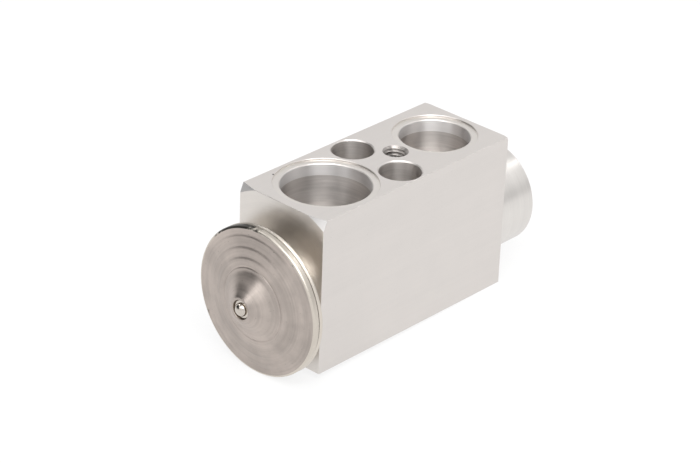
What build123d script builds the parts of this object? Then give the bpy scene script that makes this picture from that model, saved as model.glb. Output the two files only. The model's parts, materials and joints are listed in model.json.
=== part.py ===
"""Block-type thermostatic expansion valve for a refrigerant circuit.

All sizes are in millimetres. The origin is the centre of the bolt pattern on the evaporator side of
the block. X runs from the power head to the adjuster boss, Z points at the pipe side, and the valve's
mechanism lies on one axis along X at the height axis_height.
"""
from build123d import *
from math import hypot, radians, sin, sqrt, tan
import os

# Block: a length of extrusion, milled all over and faced in a lathe at both ends.
head_face_offset = 33.5
far_face_offset = 34.1
block_width = 28.0
block_height = 41.8
axis_height = 17.5
edge_break = 0.25
facet_radius = 25.8
facet_angle = 27.0

# Boss round the adjuster chamber.
boss_diameter = 27.4
boss_length = 12.7
boss_chamfer = 0.9

# Ports on the pipe side, each with a shallow spot-faced ring round its mouth.
suction_port_offset = 18.0
suction_port_diameter = 22.7
suction_port_depth = 13.5
liquid_port_offset = 21.8
liquid_port_diameter = 18.2
liquid_port_depth = 10.5
spot_face_width = 1.8
spot_face_depth = 0.5

# Ports on the evaporator side.
return_port_diameter = 20.7
return_port_depth = 7.5
outlet_port_offset = 15.0
outlet_port_diameter = 15.4
outlet_port_depth = 7.5

# Passages inside the block.
suction_passage_diameter = 17.5
inlet_drill_diameter = 8.0
outlet_passage_offset = 11.5
outlet_passage_diameter = 7.0

# Bolt holes for the two through bolts, and the stud hole between the ports at its thread's outer size.
bolt_spacing = 16.0
bolt_hole_diameter = 6.6
bolt_head_diameter = 10.7
bolt_head_depth = 8.0
bolt_hole_chamfer = 0.3
stud_hole_offset = 7.1
stud_hole_diameter = 6.0
stud_hole_depth = 13.0
stud_countersink_diameter = 7.4
drill_angle = 118.0

# Orifice, ball and chamber.
orifice_diameter = 3.2
orifice_length = 2.2
seat_diameter = 4.2
ball_diameter = 5.6
ball_lift_clearance = 0.04
chamber_diameter = 13.2
valve_stroke = 0.8

# Power head: rim, cover, diaphragm and housing.
head_gap = 5.0
rim_diameter = 38.9
housing_flange = 0.8
diaphragm_thickness = 0.2
diaphragm_inset = 0.2
cover_flange = 1.9
weld_groove = 0.35
rim_round = 0.55
cover_sheet = 1.3
clamp_width = 3.0
step_radii = (17.2, 14.3, 11.8)
step_width = 0.5
step_rise = 0.25
face_slope = 0.1
cone_base_radius = 9.3
cone_height = 3.9
cone_tip_radius = 3.15
plug_recess_radius = 2.5
plug_recess_depth = 1.1
plug_diameter = 3.5
plug_height = 1.5
plug_round = 1.3
charge_hole_diameter = 2.0
plate_radius = 9.0
plate_thickness = 1.2
plate_hub_diameter = 9.2
plate_hub_length = 2.2
plate_room = 1.0
floor_room = 0.05
housing_lip_width = 2.0
corrugation_width = 3.2
corrugation_height = 0.45
small_round = 0.3
collar_diameter = 25.0
collar_length = 2.4
neck_diameter = 18.0
neck_length = 4.0
neck_clearance = 0.05
neck_end_gap = 0.5
head_bore_diameter = 10.6

# Rod, pin and the seal between the two passages.
rod_diameter = 6.4
rod_end_gap = 0.2
rod_travel_room = 0.8
rod_socket_depth = 2.4
pin_diameter = 2.4
pin_socket_depth = 4.0
pin_clearance = 0.05
sleeve_wall = 1.1
sleeve_end_room = 0.4
fit_clearance = 0.02
seal_section = 1.8
pocket_diameter = 7.8
seal_clearance = 0.03
washer_thickness = 0.8
push_nut_thickness = 0.4
push_nut_teeth = 6
push_nut_slit = 0.8
push_nut_clearance = 0.6

# Carrier, springs and adjuster.
cup_diameter = 6.8
cup_angle = 120.0
cup_lip = 0.4
carrier_flange_diameter = 11.0
carrier_flange_thickness = 1.2
carrier_neck = 2.6
carrier_stem_diameter = 6.0
carrier_stem_length = 3.2
finger_count = 6
finger_width = 1.8
finger_reach = 2.0
finger_sheet = 0.3
finger_clearance = 0.05
spring_wire = 1.5
spring_mean_diameter = 9.4
spring_length = 12.2
spring_turns = 5.0
seat_disc_thickness = 1.4
seat_disc_clearance = 0.2
seat_pilot_diameter = 6.4
seat_pilot_length = 2.4
screw_length = 7.4
thread_clearance = 0.05
screw_groove_depth = 1.35
screw_groove_width = 2.0
screw_groove_inset = 1.2
hex_across_flats = 5.0
hex_depth = 4.0
screw_chamfer = 0.5
pilot_round = 0.6
head_seal_section = 1.5
head_seal_room = 0.2

# Stations along the valve axis.
head_face = -head_face_offset
far_face = far_face_offset
boss_end = far_face + boss_length
seat_face = outlet_passage_offset + outlet_passage_diameter / 2 + orifice_length
seat_apex = seat_face - seat_diameter / 2
ball_centre = seat_apex + ball_diameter / 2 * sqrt(2) + ball_lift_clearance
carrier_flange_face = ball_centre + carrier_neck
spring_face = carrier_flange_face + carrier_flange_thickness
spring_seat_face = spring_face + spring_length
screw_face = spring_seat_face + seat_disc_thickness
rim_back = head_face - head_gap
housing_face = rim_back - housing_flange
diaphragm_face = housing_face - diaphragm_thickness
rim_front = diaphragm_face - cover_flange
plate_back = housing_face + plate_thickness
housing_floor = plate_back + valve_stroke + floor_room
rod_end = -suction_port_offset + suction_passage_diameter / 2 - rod_end_gap
push_nut_face = rod_end + valve_stroke + rod_travel_room
washer_face = push_nut_face + push_nut_thickness
seal_face = washer_face + washer_thickness
pocket_floor = seal_face + seal_section


def turned(points, rounds=()):
    """Solid of revolution about the valve axis from (x, radius) points; rounds holds (index, radius)."""
    outline = make_face(Polyline(*points, close=True))
    for index, radius in rounds:
        corner = outline.vertices().sort_by_distance(Vector(*points[index], 0))[0]
        outline = fillet(corner, radius)
    return Pos(0, 0, axis_height) * revolve(outline, Axis.X, 360)


def axial(start, end, diameter):
    """Cylinder on the valve axis from one x to another."""
    radius = diameter / 2
    return turned([(start, 0), (start, radius), (end, radius), (end, 0)])


def drilled(x, y, bottom, top, diameter):
    """Vertical cylinder between two heights."""
    align = (Align.CENTER, Align.CENTER, Align.MIN)
    return Pos(x, y, bottom) * Cylinder(diameter / 2, top - bottom, align=align)


def ring(x, radius, section):
    """Round O-ring on the valve axis."""
    return Pos(x, 0, axis_height) * Rot(0, 90, 0) * Torus(radius, section / 2)


def facing_envelope():
    """Space that the lathe tools leave when they face both ends: only the far corners are touched."""
    reach = hypot(block_width / 2, max(block_height - axis_height, axis_height)) + 1
    depth = (reach - facet_radius) * tan(radians(facet_angle))
    return turned(
        [
            (head_face, 0),
            (head_face, facet_radius),
            (head_face + depth, reach),
            (far_face - depth, reach),
            (far_face, facet_radius),
            (far_face, 0),
        ]
    )


def port(x, diameter, depth, ring_width):
    """Pipe-side port with its spot-faced ring."""
    bore = drilled(x, 0, block_height - depth, block_height, diameter)
    spot_face = drilled(x, 0, block_height - spot_face_depth, block_height, diameter + 2 * ring_width)
    return [bore, spot_face]


def bolt_hole(y):
    """Through hole with its deep counterbore and a small chamfer at the mouth."""
    shank = drilled(0, y, 0, block_height, bolt_hole_diameter)
    head = drilled(0, y, block_height - bolt_head_depth, block_height, bolt_head_diameter)
    mouth = Pos(0, y, block_height - bolt_hole_chamfer) * Cone(
        bolt_head_diameter / 2,
        bolt_head_diameter / 2 + bolt_hole_chamfer,
        bolt_hole_chamfer,
        align=(Align.CENTER, Align.CENTER, Align.MIN),
    )
    return [shank, head, mouth]


def stud_hole():
    """Blind tapped hole between the ports, with its countersink and drill point."""
    radius = stud_hole_diameter / 2
    sink = stud_countersink_diameter / 2 - radius
    bore = drilled(stud_hole_offset, 0, block_height - stud_hole_depth, block_height, stud_hole_diameter)
    mouth = Pos(stud_hole_offset, 0, block_height - sink) * Cone(
        radius, radius + sink, sink, align=(Align.CENTER, Align.CENTER, Align.MIN)
    )
    point = Pos(stud_hole_offset, 0, block_height - stud_hole_depth) * Cone(
        0, radius, radius / tan(radians(drill_angle / 2)), align=(Align.CENTER, Align.CENTER, Align.MAX)
    )
    return [bore, mouth, point]


def head_socket():
    """Cavity in the head-end face: seal recess, threaded cavity and the bore to the suction passage."""
    cavity = neck_diameter + 2 * neck_clearance
    recess = neck_diameter + 2 * (head_seal_section + 2 * head_seal_room)
    return [
        axial(head_face, head_face + head_seal_section, recess),
        axial(head_face, head_face + neck_length + neck_end_gap, cavity),
        axial(head_face, -suction_port_offset, head_bore_diameter),
    ]


def seat_and_chamber():
    """Guide bore, seal pocket, orifice with its conical seat, and the chamber through the boss."""
    orifice = orifice_diameter / 2
    seat = seat_diameter / 2
    return [
        axial(-suction_port_offset, outlet_passage_offset, pin_diameter + 2 * pin_clearance),
        axial(-suction_port_offset, pocket_floor, pocket_diameter),
        turned(
            [
                (outlet_passage_offset, 0),
                (outlet_passage_offset, orifice),
                (seat_apex + orifice, orifice),
                (seat_face, seat),
                (seat_face, 0),
            ]
        ),
        axial(seat_face, boss_end, chamber_diameter),
    ]


def valve_body():
    """Aluminium block with boss, ports, passages and holes."""
    stock = Pos(head_face, 0, 0) * Box(
        far_face - head_face, block_width, block_height, align=(Align.MIN, Align.CENTER, Align.MIN)
    )
    stock = chamfer(stock.edges(), edge_break) & facing_envelope()
    boss = axial(far_face, boss_end, boss_diameter)
    boss = chamfer(boss.edges().sort_by(Axis.X)[-1], boss_chamfer)
    cuts = []
    cuts += port(-suction_port_offset, suction_port_diameter, suction_port_depth, spot_face_width)
    cuts += port(liquid_port_offset, liquid_port_diameter, liquid_port_depth, spot_face_width)
    cuts.append(drilled(-suction_port_offset, 0, 0, block_height, suction_passage_diameter))
    cuts.append(drilled(-suction_port_offset, 0, 0, return_port_depth, return_port_diameter))
    cuts.append(drilled(outlet_port_offset, 0, 0, outlet_port_depth, outlet_port_diameter))
    cuts.append(drilled(outlet_passage_offset, 0, 0, axis_height, outlet_passage_diameter))
    cuts.append(drilled(liquid_port_offset, 0, axis_height, block_height, inlet_drill_diameter))
    for side in (-1, 1):
        cuts += bolt_hole(side * bolt_spacing / 2)
    cuts += stud_hole()
    cuts += head_socket()
    cuts += seat_and_chamber()
    body = stock + boss
    for cut in cuts:
        body -= cut
    return body


def cover_outline():
    """Outer line of the cover from the rim to the plug recess, as (x, radius) points."""
    points = [(rim_front, rim_diameter / 2)]
    rise = 0
    last = step_radii[0]
    for radius in step_radii:
        rise += face_slope * (last - radius)
        points.append((rim_front - rise, radius + step_width / 2))
        rise += step_rise
        points.append((rim_front - rise, radius - step_width / 2))
        last = radius
    rise += face_slope * (last - cone_base_radius)
    points.append((rim_front - rise, cone_base_radius))
    rise += cone_height
    points.append((rim_front - rise, cone_tip_radius))
    return points


def head_cover():
    """Upper half of the power head: stamped disc with concentric steps and a cone, open inside."""
    outer = cover_outline()
    tip = outer[-1][0]
    clamp_radius = rim_diameter / 2 - clamp_width
    recess_floor = tip + plug_recess_depth
    inner = [(x + cover_sheet, radius) for x, radius in outer[2:-1]]
    points = outer + [
        (tip, plug_recess_radius),
        (recess_floor, plug_recess_radius),
        (recess_floor, charge_hole_diameter / 2),
        (recess_floor + cover_sheet, charge_hole_diameter / 2),
        (recess_floor + cover_sheet, cone_tip_radius),
    ]
    points += list(reversed(inner))
    points += [
        (inner[0][0], clamp_radius),
        (diaphragm_face, clamp_radius),
        (diaphragm_face, rim_diameter / 2 - weld_groove),
        (diaphragm_face - weld_groove, rim_diameter / 2),
    ]
    return turned(points, rounds=[(0, rim_round)])


def charge_plug():
    """Round-ended plug in the tip of the cone."""
    floor = cover_outline()[-1][0] + plug_recess_depth
    radius = plug_diameter / 2
    stem = charge_hole_diameter / 2 - fit_clearance
    crown = floor - plug_height
    points = [
        (floor, radius),
        (crown, radius),
        (crown, 0),
        (floor + cover_sheet, 0),
        (floor + cover_sheet, stem),
        (floor, stem),
    ]
    return turned(points, rounds=[(1, plug_round)])


def head_housing():
    """Lower half of the power head: flange, dish, collar and threaded neck in one turned piece."""
    rim = rim_diameter / 2
    bore = head_bore_diameter / 2
    collar = collar_diameter / 2
    dish = plate_radius + plate_room
    clamp_radius = rim - clamp_width
    points = [
        (housing_face, rim - weld_groove),
        (housing_face + weld_groove, rim),
        (rim_back, rim),
        (rim_back, rim - housing_lip_width),
        (head_face - collar_length, collar),
        (head_face, collar),
        (head_face, neck_diameter / 2),
        (head_face + neck_length, neck_diameter / 2),
        (head_face + neck_length, bore),
        (housing_floor, bore),
        (housing_floor, dish),
        (housing_face, clamp_radius),
    ]
    return turned(points, rounds=[(2, small_round)])


def diaphragm():
    """Thin disc with one round corrugation, clamped at its edge and flat over the plate."""
    rim = rim_diameter / 2 - weld_groove - diaphragm_inset
    middle = (rim_diameter / 2 - clamp_width + plate_radius) / 2
    half = corrugation_width / 2
    lift = corrugation_height
    points = [
        (housing_face, 0),
        (housing_face, middle - half),
        (housing_face - lift, middle),
        (housing_face, middle + half),
        (housing_face, rim),
        (diaphragm_face, rim),
        (diaphragm_face, middle + half),
        (diaphragm_face - lift, middle),
        (diaphragm_face, middle - half),
        (diaphragm_face, 0),
    ]
    return turned(points)


def diaphragm_plate():
    """Stopper plate below the diaphragm, with the socket for the rod in its hub."""
    hub = plate_hub_diameter / 2
    socket = rod_diameter / 2 + fit_clearance
    hub_end = plate_back + plate_hub_length
    socket_floor = hub_end - rod_socket_depth
    points = [
        (housing_face, 0),
        (housing_face, plate_radius),
        (plate_back, plate_radius),
        (plate_back, hub),
        (hub_end, hub),
        (hub_end, socket),
        (socket_floor, socket),
        (socket_floor, 0),
    ]
    return turned(points, rounds=[(1, small_round)])


def head_seal():
    """O-ring in the recess at the mouth of the head cavity."""
    radius = neck_diameter / 2 + head_seal_room + head_seal_section / 2
    return ring(head_face + head_seal_section / 2, radius, head_seal_section)


def sensing_rod():
    """Rod across the suction passage, blind-drilled at its far end for the pin."""
    start = plate_back + plate_hub_length - rod_socket_depth
    radius = rod_diameter / 2
    socket = pin_diameter / 2 + fit_clearance
    points = [
        (start, 0),
        (start, radius),
        (rod_end, radius),
        (rod_end, socket),
        (rod_end - pin_socket_depth, socket),
        (rod_end - pin_socket_depth, 0),
    ]
    return turned(points, rounds=[(2, small_round)])


def rod_sleeve():
    """Plastic sleeve on the stretch of rod that stands in the suction gas."""
    inner = rod_diameter / 2 + fit_clearance
    outer = rod_diameter / 2 + sleeve_wall
    half_span = sqrt((suction_passage_diameter / 2) ** 2 - outer**2)
    start = -suction_port_offset - half_span
    end = -suction_port_offset + half_span - valve_stroke - sleeve_end_room
    return turned([(start, inner), (start, outer), (end, outer), (end, inner)])


def push_pin():
    """Steel pin from the rod through the seal, guide bore and orifice to the ball."""
    start = rod_end - pin_socket_depth
    end = ball_centre - ball_diameter / 2
    return axial(start, end, pin_diameter)


def pin_seal():
    """O-ring round the pin, at the bottom of its pocket."""
    radius = pin_diameter / 2 + seal_clearance + seal_section / 2
    return ring((seal_face + pocket_floor) / 2, radius, seal_section)


def seal_washer():
    """Flat washer that keeps the O-ring in its pocket."""
    inner = pin_diameter / 2 + pin_clearance
    outer = pocket_diameter / 2 - fit_clearance
    return turned([(washer_face, inner), (washer_face, outer), (seal_face, outer), (seal_face, inner)])


def push_nut():
    """Spring washer with slits round its edge, pressed into the pocket over the washer."""
    inner = pin_diameter / 2 + push_nut_clearance
    outer = pocket_diameter / 2 - fit_clearance
    outline = [(push_nut_face, inner), (push_nut_face, outer), (washer_face, outer), (washer_face, inner)]
    nut = turned(outline)
    slit = Pos(0, 0, outer) * Box(push_nut_thickness * 4, push_nut_slit, outer - inner)
    for index in range(push_nut_teeth):
        angle = 360 / push_nut_teeth * index
        nut -= Pos(push_nut_face, 0, axis_height) * Rot(angle, 0, 0) * slit
    return nut


def valve_ball():
    """Ball that closes the orifice."""
    return Pos(ball_centre, 0, axis_height) * Sphere(ball_diameter / 2)


def ball_carrier():
    """Turned carrier: conical cup for the ball, flange for the spring, and a stem inside the spring."""
    cup = cup_diameter / 2
    flange = carrier_flange_diameter / 2
    stem = carrier_stem_diameter / 2
    mouth = cup - cup_lip
    apex = ball_centre + ball_diameter / 2 / sin(radians(cup_angle / 2))
    lip = apex - mouth / tan(radians(cup_angle / 2))
    points = [
        (apex, 0),
        (lip, mouth),
        (lip, cup),
        (carrier_flange_face, cup),
        (carrier_flange_face, flange),
        (spring_face, flange),
        (spring_face, stem),
        (spring_face + carrier_stem_length, stem),
        (spring_face + carrier_stem_length, 0),
    ]
    return turned(points)


def damping_spring():
    """Ring on the carrier's flange, with fingers bent forward on to the chamber wall."""
    inner = cup_diameter / 2 + fit_clearance
    outer = carrier_flange_diameter / 2
    back = carrier_flange_face
    front = back - finger_sheet
    tip = sqrt((chamber_diameter / 2 - finger_clearance) ** 2 - (finger_width / 2) ** 2)
    spring = turned([(front, inner), (front, outer), (back, outer), (back, inner)])
    root = outer - finger_sheet
    outline = make_face(
        Polyline(
            (back, root),
            (back, outer),
            (front - finger_reach, tip),
            (front - finger_reach, tip - finger_sheet),
            (front, root),
            close=True,
        )
    )
    finger = extrude(outline, finger_width / 2, both=True)
    for index in range(finger_count):
        angle = 360 / finger_count * index
        spring += Pos(0, 0, axis_height) * Rot(angle, 0, 0) * finger
    return spring


def superheat_spring():
    """Round-wire compression spring with both ends ground flat."""
    pitch = spring_length / spring_turns
    radius = spring_mean_diameter / 2
    path = Helix(pitch, spring_length, radius)
    coil = sweep((path ^ 0) * Circle(spring_wire / 2), path=path)
    room = Cylinder(radius + spring_wire, spring_length, align=(Align.CENTER, Align.CENTER, Align.MIN))
    return Pos(spring_face, 0, axis_height) * Rot(0, 90, 0) * (coil & room)


def spring_seat():
    """Disc between spring and screw, with a pilot inside the spring."""
    disc = chamber_diameter / 2 - seat_disc_clearance
    pilot = seat_pilot_diameter / 2
    points = [
        (spring_seat_face - seat_pilot_length, 0),
        (spring_seat_face - seat_pilot_length, pilot),
        (spring_seat_face, pilot),
        (spring_seat_face, disc),
        (screw_face, disc),
        (screw_face, 0),
    ]
    return turned(points, rounds=[(1, pilot_round)])


def adjusting_screw():
    """Set screw with a seal groove and a hexagon socket."""
    outer = chamber_diameter / 2 - thread_clearance
    groove = outer - screw_groove_depth
    start = screw_face + screw_groove_inset
    end = screw_face + screw_length
    points = [
        (screw_face, 0),
        (screw_face, outer),
        (start, outer),
        (start, groove),
        (start + screw_groove_width, groove),
        (start + screw_groove_width, outer),
        (end - screw_chamfer, outer),
        (end, outer - screw_chamfer),
        (end, 0),
    ]
    socket_profile = Plane.YZ * RegularPolygon(hex_across_flats / 2, 6, major_radius=False)
    socket = Pos(end - hex_depth, 0, axis_height) * extrude(socket_profile, hex_depth)
    return turned(points) - socket


def adjuster_seal():
    """O-ring in the groove of the adjusting screw."""
    section = screw_groove_depth
    radius = chamber_diameter / 2 - thread_clearance - section / 2
    return ring(screw_face + screw_groove_inset + screw_groove_width / 2, radius, section)


PIECES = {
    "valve_body": valve_body,
    "head_cover": head_cover,
    "head_housing": head_housing,
    "charge_plug": charge_plug,
    "diaphragm": diaphragm,
    "diaphragm_plate": diaphragm_plate,
    "head_seal": head_seal,
    "sensing_rod": sensing_rod,
    "rod_sleeve": rod_sleeve,
    "push_pin": push_pin,
    "pin_seal": pin_seal,
    "seal_washer": seal_washer,
    "push_nut": push_nut,
    "valve_ball": valve_ball,
    "ball_carrier": ball_carrier,
    "damping_spring": damping_spring,
    "superheat_spring": superheat_spring,
    "spring_seat": spring_seat,
    "adjusting_screw": adjusting_screw,
    "adjuster_seal": adjuster_seal,
}

os.makedirs("parts", exist_ok=True)
for name, build in PIECES.items():
    export_step(build(), f"parts/{name}.step")
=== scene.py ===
"""Studio scene of a block-type expansion valve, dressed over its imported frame.

Sizes are in millimetres, in the frame's own axes, and go into the meshes in metres. X runs from the
power head to the adjuster boss.
"""

from __future__ import annotations

import json
import logging
import math
from dataclasses import dataclass
from enum import Enum
from functools import cache
from typing import NamedTuple

import bmesh
import bpy
from mathutils import Matrix, Vector

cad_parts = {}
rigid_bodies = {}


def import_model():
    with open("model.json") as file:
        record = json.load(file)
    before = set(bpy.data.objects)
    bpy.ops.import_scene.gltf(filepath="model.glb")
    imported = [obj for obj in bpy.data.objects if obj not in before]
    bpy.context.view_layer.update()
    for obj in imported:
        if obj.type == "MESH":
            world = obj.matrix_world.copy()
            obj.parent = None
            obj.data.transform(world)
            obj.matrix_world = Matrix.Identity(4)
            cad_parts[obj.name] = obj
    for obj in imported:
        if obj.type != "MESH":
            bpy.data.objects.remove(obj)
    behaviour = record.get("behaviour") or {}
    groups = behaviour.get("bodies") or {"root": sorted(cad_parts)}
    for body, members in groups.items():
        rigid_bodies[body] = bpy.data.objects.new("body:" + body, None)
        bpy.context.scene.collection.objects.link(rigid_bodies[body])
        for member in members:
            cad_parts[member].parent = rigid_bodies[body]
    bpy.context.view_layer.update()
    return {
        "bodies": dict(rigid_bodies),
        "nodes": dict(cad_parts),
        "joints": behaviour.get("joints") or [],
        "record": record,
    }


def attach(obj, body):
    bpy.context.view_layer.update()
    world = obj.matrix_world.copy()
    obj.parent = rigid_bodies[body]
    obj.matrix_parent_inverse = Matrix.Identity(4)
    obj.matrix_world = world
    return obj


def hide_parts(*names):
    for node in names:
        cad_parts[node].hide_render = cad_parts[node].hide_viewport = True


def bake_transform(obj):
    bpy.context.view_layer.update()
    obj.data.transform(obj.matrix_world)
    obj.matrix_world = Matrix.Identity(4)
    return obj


LOG = logging.getLogger("expansion_valve")
MM = 0.001
AXIS_HEIGHT = 17.5
PLAY = 0.02  # room between pieces that sit in each other
OVER = 1.0  # how far threads and cones run out of the metal
CLEAR = 2.0  # how far cutters stand out of the block
HAIR = 0.01  # how far a bevel's cutter starts off the face
PITCH = 1.0  # of every thread
DOUBLE = 0.002  # points closer than this are one
ARC_STEPS = 4
SHARE = 0.49  # of a side, the most that a rounding takes
SECTION_STEPS = 20
BUMP = 0.0001  # depth of surface marks, in metres
STRAIGHT, WAVY = 12.0, 55.0  # how much tool marks wander
UPRIGHT_TO_X = Matrix.Rotation(math.pi / 2, 4, "Y")
WHITE = (1.0, 1.0, 1.0, 1.0)
VALVE_MIDDLE = Vector((0, 0, 0.02))  # in metres
Object = bpy.types.Object
Socket = bpy.types.NodeSocket
Point = tuple[float, float, float]
Row = tuple[float, ...]


class Line(Enum):
    """The line that a turned or bored form spins about."""

    VALVE = "valve"
    UPRIGHT = "upright"


class Lay(Enum):
    """The way that tool marks run over a metal face."""

    LENGTHWISE = "lengthwise"
    FACED = "faced"
    TURNED = "turned"
    BORED = "bored"


class Body(Enum):
    """The moving groups of the valve."""

    BLOCK = "valve_block"
    ROD = "push_rod"
    SLIDE = "adjuster_slide"
    SCREW = "adjuster"


# Node trees


class Graph:
    """Short-hand for building one node tree."""

    def __init__(self, tree: bpy.types.NodeTree) -> None:
        """Keep the tree that the nodes go into."""
        self.tree = tree

    def add(self, kind: str, inputs: dict | None = None, **settings: object) -> bpy.types.Node:
        """Add a node.

        Args:
            kind: the node's type name.
            inputs: values or sockets for its inputs, by name or place.
            settings: attributes of the node itself.

        Returns:
            The new node.
        """
        node = self.tree.nodes.new(kind)
        for name, value in settings.items():
            setattr(node, name, value)
        for key, value in (inputs or {}).items():
            if isinstance(value, Socket):
                self.tree.links.new(value, node.inputs[key])
            else:
                node.inputs[key].default_value = value
        return node

    def out(self, kind: str, inputs: dict | None = None, **settings: object) -> Socket:
        """Add a node and return its first output."""
        return self.add(kind, inputs, **settings).outputs[0]

    def join(self, source: Socket, target: Socket) -> None:
        """Link an output to an input."""
        self.tree.links.new(source, target)

    def math(self, operation: str, *values: float | Socket) -> Socket:
        """Add a Math node on numbers or sockets and return its result."""
        return self.out("ShaderNodeMath", dict(enumerate(values)), operation=operation)

    def vector(self, operation: str, inputs: dict, output: str = "Vector") -> Socket:
        """Add a Vector Math node and return one of its outputs."""
        return self.add("ShaderNodeVectorMath", inputs, operation=operation).outputs[output]

    def combine(self, **axes: float | Socket) -> Socket:
        """Join X, Y and Z into a vector."""
        return self.out("ShaderNodeCombineXYZ", axes)

    def between(self, value: Socket, low: float, high: float) -> Socket:
        """Spread a value from 0..1 over the range from low to high."""
        return self.out("ShaderNodeMapRange", {"Value": value, "To Min": low, "To Max": high})

    def ramp(self, value: Socket, low: float | Socket, high: float | Socket) -> Socket:
        """Turn a value into a mask that rises softly from 0 at low to 1 at high."""
        inputs = {"Value": value, "From Min": low, "From Max": high}
        return self.out("ShaderNodeMapRange", inputs, interpolation_type="SMOOTHSTEP")

    def noise(self, place: Socket, scale: float, detail: float, roughness: float = 0.5) -> Socket:
        """Add a noise texture and return its value."""
        inputs = {"Vector": place, "Scale": scale, "Detail": detail, "Roughness": roughness}
        return self.out("ShaderNodeTexNoise", inputs)

    def group(self, tree: bpy.types.NodeTree, inputs: dict) -> bpy.types.NodeOutputs:
        """Add a node group and return its outputs."""
        return self.add("ShaderNodeGroup", inputs, node_tree=tree).outputs


def shader_group(
    name: str, inputs: dict[str, float | None], outputs: list[str]
) -> tuple[Graph, dict, dict]:
    """Start a shader node group.

    Args:
        name: the group's name.
        inputs: default of each input by name; None makes it a vector.
        outputs: names of its float outputs.

    Returns:
        The group's graph, its input sockets and its output sockets.
    """
    tree = bpy.data.node_groups.new(name, "ShaderNodeTree")
    for label, value in inputs.items():
        kind = "NodeSocketVector" if value is None else "NodeSocketFloat"
        socket = tree.interface.new_socket(label, in_out="INPUT", socket_type=kind)
        if value is not None:
            socket.default_value = value
    for label in outputs:
        tree.interface.new_socket(label, in_out="OUTPUT", socket_type="NodeSocketFloat")
    graph = Graph(tree)
    return graph, graph.add("NodeGroupInput").outputs, graph.add("NodeGroupOutput").inputs


@cache
def tool_lines_group() -> bpy.types.NodeTree:
    """Fine and broad lines left by a cutter.

    Returns:
        A group that takes the coordinate across the lines and puts out Height and Tone.
    """
    inputs = {"Across": 0.0, "Position": None, "Spacing": 0.0004, "Drift": WAVY, "Seed": 0.0}
    graph, given, result = shader_group("tool lines", inputs, ["Height", "Tone"])
    drift = graph.vector("SCALE", {0: given["Position"], "Scale": given["Drift"]})
    step = graph.math("DIVIDE", given["Across"], given["Spacing"])
    seeded = graph.math("ADD", step, given["Seed"])
    noises = []
    for way, detail in ((seeded, 3.0), (graph.math("MULTIPLY", seeded, 0.16), 2.0)):
        sizes = {"Vector": drift, "W": way, "Scale": 1.0, "Detail": detail, "Roughness": 0.6}
        noises.append(graph.out("ShaderNodeTexNoise", sizes, noise_dimensions="4D"))
    fine, broad = noises
    tone = graph.math("ADD", graph.math("MULTIPLY", fine, 0.45), graph.math("MULTIPLY", broad, 0.55))
    graph.join(fine, result["Height"])
    graph.join(graph.ramp(tone, 0.3, 0.7), result["Tone"])
    return graph.tree


@cache
def handling_group() -> bpy.types.NodeTree:
    """Soft clouds and a few small specks, as handling leaves on bare metal.

    Returns:
        A group that takes the position and puts out Cloud and Speck, both from 0 to 1.
    """
    inputs = {"Position": None, "Size": 0.008}
    graph, given, result = shader_group("handling marks", inputs, ["Cloud", "Speck"])
    scale = graph.math("DIVIDE", 1.0, given["Size"])
    place = graph.vector("SCALE", {0: given["Position"], "Scale": scale})
    graph.join(graph.ramp(graph.noise(place, 1.0, 4.0, 0.55), 0.3, 0.7), result["Cloud"])
    graph.join(graph.ramp(graph.noise(place, 14.0, 2.0), 0.68, 0.78), result["Speck"])
    return graph.tree


@cache
def spot_group() -> bpy.types.NodeTree:
    """One small dark spot with a ragged edge, used for worn marks and stains and for a painted dark
    reflection.

    Returns:
        A group that takes Position, Centre and Size and puts out Mask.
    """
    inputs = {"Position": None, "Centre": None, "Size": 0.002}
    graph, given, result = shader_group("worn spot", inputs, ["Mask"])
    away = graph.vector("DISTANCE", {0: given["Position"], 1: given["Centre"]}, "Value")
    ragged = graph.noise(given["Position"], 900.0, 3.0)
    wander = graph.math("MULTIPLY", graph.math("SUBTRACT", ragged, 0.5), 1.6)
    reach = graph.math("ADD", graph.math("DIVIDE", away, given["Size"]), wander)
    graph.join(graph.ramp(reach, 1.0, 0.5), result["Mask"])
    return graph.tree


# Finishes


def linear(colour: Point) -> tuple[float, float, float, float]:
    """sRGB colour, with values from 0 to 1, to linear with full alpha."""
    red, green, blue = (c / 12.92 if c <= 0.04045 else ((c + 0.055) / 1.055) ** 2.4 for c in colour)
    return red, green, blue, 1.0


def blank_material(name: str) -> tuple[bpy.types.Material, Graph, bpy.types.Node]:
    """Start a material with only its shader and output.

    Args:
        name: the material's name.

    Returns:
        The material, its graph and its Principled BSDF.
    """
    material = bpy.data.materials.new(name)
    material.use_nodes = True
    shader = material.node_tree.nodes["Principled BSDF"]
    return material, Graph(material.node_tree), shader


class WearAndShadeSpot(NamedTuple):
    """A small dark spot: its place and radius in mm, and the factor on the colour inside it."""

    centre: Point
    size: float
    tone: float


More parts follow.
